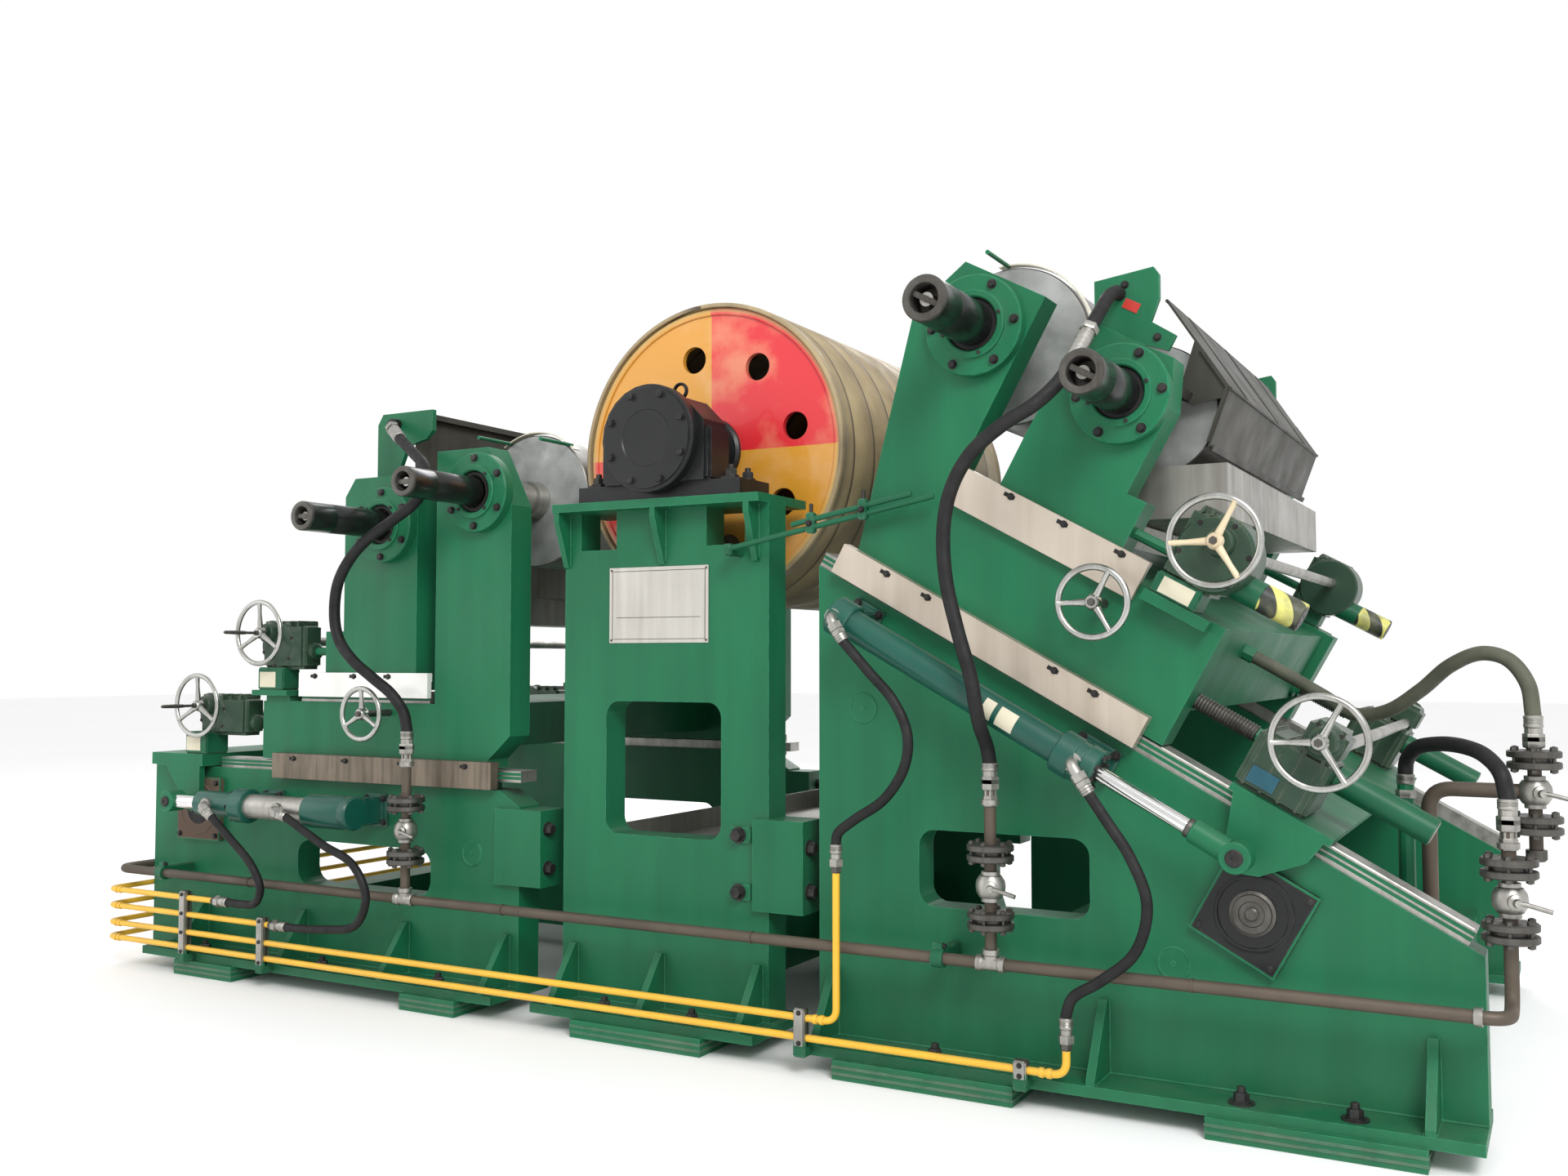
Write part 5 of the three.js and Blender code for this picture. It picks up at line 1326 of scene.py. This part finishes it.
for end, side in ends:
    low, high = depthSpan(side, -26.5, -1)
    addBlock(piece, 0, 1478.5, 1731.5, low, high, -336.5, -83.5, 8)
    foot = (1605, depthAt(side, -26), -210)
    addTurned(piece, 0, foot, (0, side, 0), [(0, 0), (104, 0), (104, 5), (98, 7), (92, 7), (90, 1), (0, 1)],
        56)
    addTurned(piece, 1, foot, (0, side, 0), [(0, 0), (62, 0), (60, 10), (52, 14), (50, 20), (34, 22),
        (32, 18), (18, 18), (18, 24), (14, 27), (0, 27)], 48)
    for x in (1500, 1710):
        for z in (-315, -105):
            addBolt(piece, 2, (x, depthAt(side, -26), z), (0, side, 0), 18, 6.5)
makePiece("rightSquareFlanges", piece, incline, "fixed_frame", [black, castSteel, blackBolt])
print("frame trim done")

# Guards over the roll ends.
for name, place, body, x, z, radius, start, sweep in (("rightRollGuards", incline, "right_carriage", 130,
        862, 258, -128, 122), ("leftRollGuards", machine, "left_carriage", -785, 1828, 258, -125, 80)):
    piece = bmesh.new()
    for end, side in ends:
        y = 736 * side if side < 0 else 700
        addTurned(piece, 0, (x, y, z), (0, 1, 0), [(radius, 0), (radius + 4, 0), (radius + 4, 36),
            (radius, 36), (radius, 0)], 40, sweep, start)
        for a in (start + 6, start + sweep - 6):
            angle = math.radians(a)
            spot = Vector((x + (radius + 2) * math.cos(angle), y + 18, z - (radius + 2) * math.sin(angle)))
            addTube(piece, 1, [spot, spot + Vector((0, 190 * side, 0))], 7, 12)
    makePiece(name, piece, place, body, [guardCream, green])

# Hood trim: seams, gutter lip and end flanges.
piece = bmesh.new()
addTube(piece, 0, [(822, -782, 1012), (822, 782, 1012)], 5, 12)
addBlock(piece, 0, 838, 858, -782, 782, 830, 834, 1)
addBlock(piece, 0, 856, 859, -782, 782, 830, 848, 1)
addTube(piece, 0, [(531, -782, 1168), (531, 782, 1168)], 5, 12)
for y in (-520, 0, 520):
    addPart(piece, slabShape([(532, 1170), (536, 1172.5), (824, 1016), (820, 1011)], y - 12, y + 12), 0)
for side in (-1, 1):
    addPart(piece, slabShape([(690, 1075), (700, 1081), (816, 1018), (840, 850), (834, 848), (808, 1010)],
        side * 772, side * 790), 0)
    for s, n in ((704, 938), (722, 948)):
        addBolt(piece, 1, (s, side * 781, n), (0, side, 0), 14, 8)
makePiece("hoodTrim", piece, incline, "right_slide", [sheetDark, blackBolt])

piece = bmesh.new()
for end, side in ends:
    low, high = depthSpan(side, 113.5, 116)
    addBlock(piece, 0, 462, 512, low, high, 1088, 1118, 1)
    for s, n in ((450, 930), (480, 930), (600, 1052), (440, 1150)):
        addBolt(piece, 1, (s, depthAt(side, 116), n), (0, side, 0), 17, 10)
makePiece("bracketMarks", piece, incline, "right_carriage", [redPaint, blackBolt])

# Stay rod clamps.
piece = bmesh.new()
start, finish = Vector((300, -1105, 1580)), Vector((1000, -1090, 1712))
way = (finish - start).normalized()
addRod(piece, 0, start - way * 6, finish, 9, 24)
addRod(piece, 0, start + way * 230 + Vector((0, 0, 24)), start + way * 640 + Vector((0, 0, 24)), 9, 24)
for reach in (300, 480):
    spot = start + way * reach
    addBlock(piece, 0, spot.x - 13, spot.x + 13, spot.y - 16, spot.y + 16, spot.z - 18, spot.z + 46, 4)
    addRod(piece, 1, spot + Vector((0, 0, 40)), spot + Vector((0, 0, 74)), 6, 16)
    addBolt(piece, 1, spot + Vector((0, -16, 12)), (0, -1, 0), 16, 10)
addBlock(piece, 0, 283.5, 313.5, -1116, -1030.5, 1558.5, 1596.5, 5)
makePiece("stayRodClamps", piece, machine, "fixed_frame", [greenSmall, blackBolt],
    ["stay_rod"])
print("small fittings done")

# Finishes of the solids that show as they are.
bodyFinishes = {
    "green_paint": green, "teal_paint": teal, "black_paint": black, "jack_paint": olive, "rusty_pipe": rust,
    "yellow_paint": yellow, "stainless_sheet": sheetGrey, "dark_sheet": sheetDark,
    "handwheel_steel": wheelSteel,
    "roll_steel": rollSkin, "drum_wrap": drumWrapPaper, "drum_face": drumFacePaint, "black_hose": hoseBlack,
    "grey_hose": hoseGrey,
}
slotOf = {entry["node"]: entry["material_slot"] for entry in frame["record"]["subparts"]}
nodeFinishes = {"left_splash_guard": sheetDark}
for node, item in frame["nodes"].items():
    finish = nodeFinishes.get(node, bodyFinishes[slotOf[node]])
    item.data.materials.clear()
    item.data.materials.append(finish)

# Floor and light.
piece = bmesh.new()
bmesh.ops.create_grid(piece, x_segments=1, y_segments=1, size=40)
floorMesh = bpy.data.meshes.new("floor")
piece.to_mesh(floorMesh)
piece.free()
floorFinish, nodes, links, shader = startFinish("floorPale")
floorColour = blendColours(nodes, links, placeGroup(nodes, "mottle", Scale=0.6, Low=0.3, High=0.7),
    (0.93, 0.93, 0.93), (0.91, 0.91, 0.912))
links.new(floorColour, shader.inputs["Base Color"])
shader.inputs["Roughness"].default_value = 0.75
floorMesh.materials.append(floorFinish)
floor = bpy.data.objects.new("floor", floorMesh)
floor.location.z = -0.001
scene.collection.objects.link(floor)

world = scene.world or bpy.data.worlds.new("studio")
scene.world = world
world.use_nodes = True
world.node_tree.nodes["Background"].inputs["Color"].default_value = (1, 1, 1, 1)
world.node_tree.nodes["Background"].inputs["Strength"].default_value = 1.0
lights = {
    "keyLight": {"place": (5.5, -6.5, 6.5), "aim": (0.3, 0, 1.2), "size": 3.2, "power": 620},
    "fillLight": {"place": (-7, -6, 4), "aim": (-0.5, 0, 1.0), "size": 6, "power": 120},
    "backLight": {"place": (-3, 7.5, 6), "aim": (0, 0, 1.3), "size": 5, "power": 300},
}
for name, spec in lights.items():
    light = bpy.data.lights.new(name, "AREA")
    light.size = spec["size"]
    light.energy = spec["power"]
    lamp = bpy.data.objects.new(name, light)
    lamp.location = spec["place"]
    lamp.rotation_euler = (Vector(spec["aim"]) - Vector(spec["place"])).to_track_quat("-Z", "Y").to_euler()
    scene.collection.objects.link(lamp)
scene.view_settings.view_transform = "Standard"

print("scene ready")
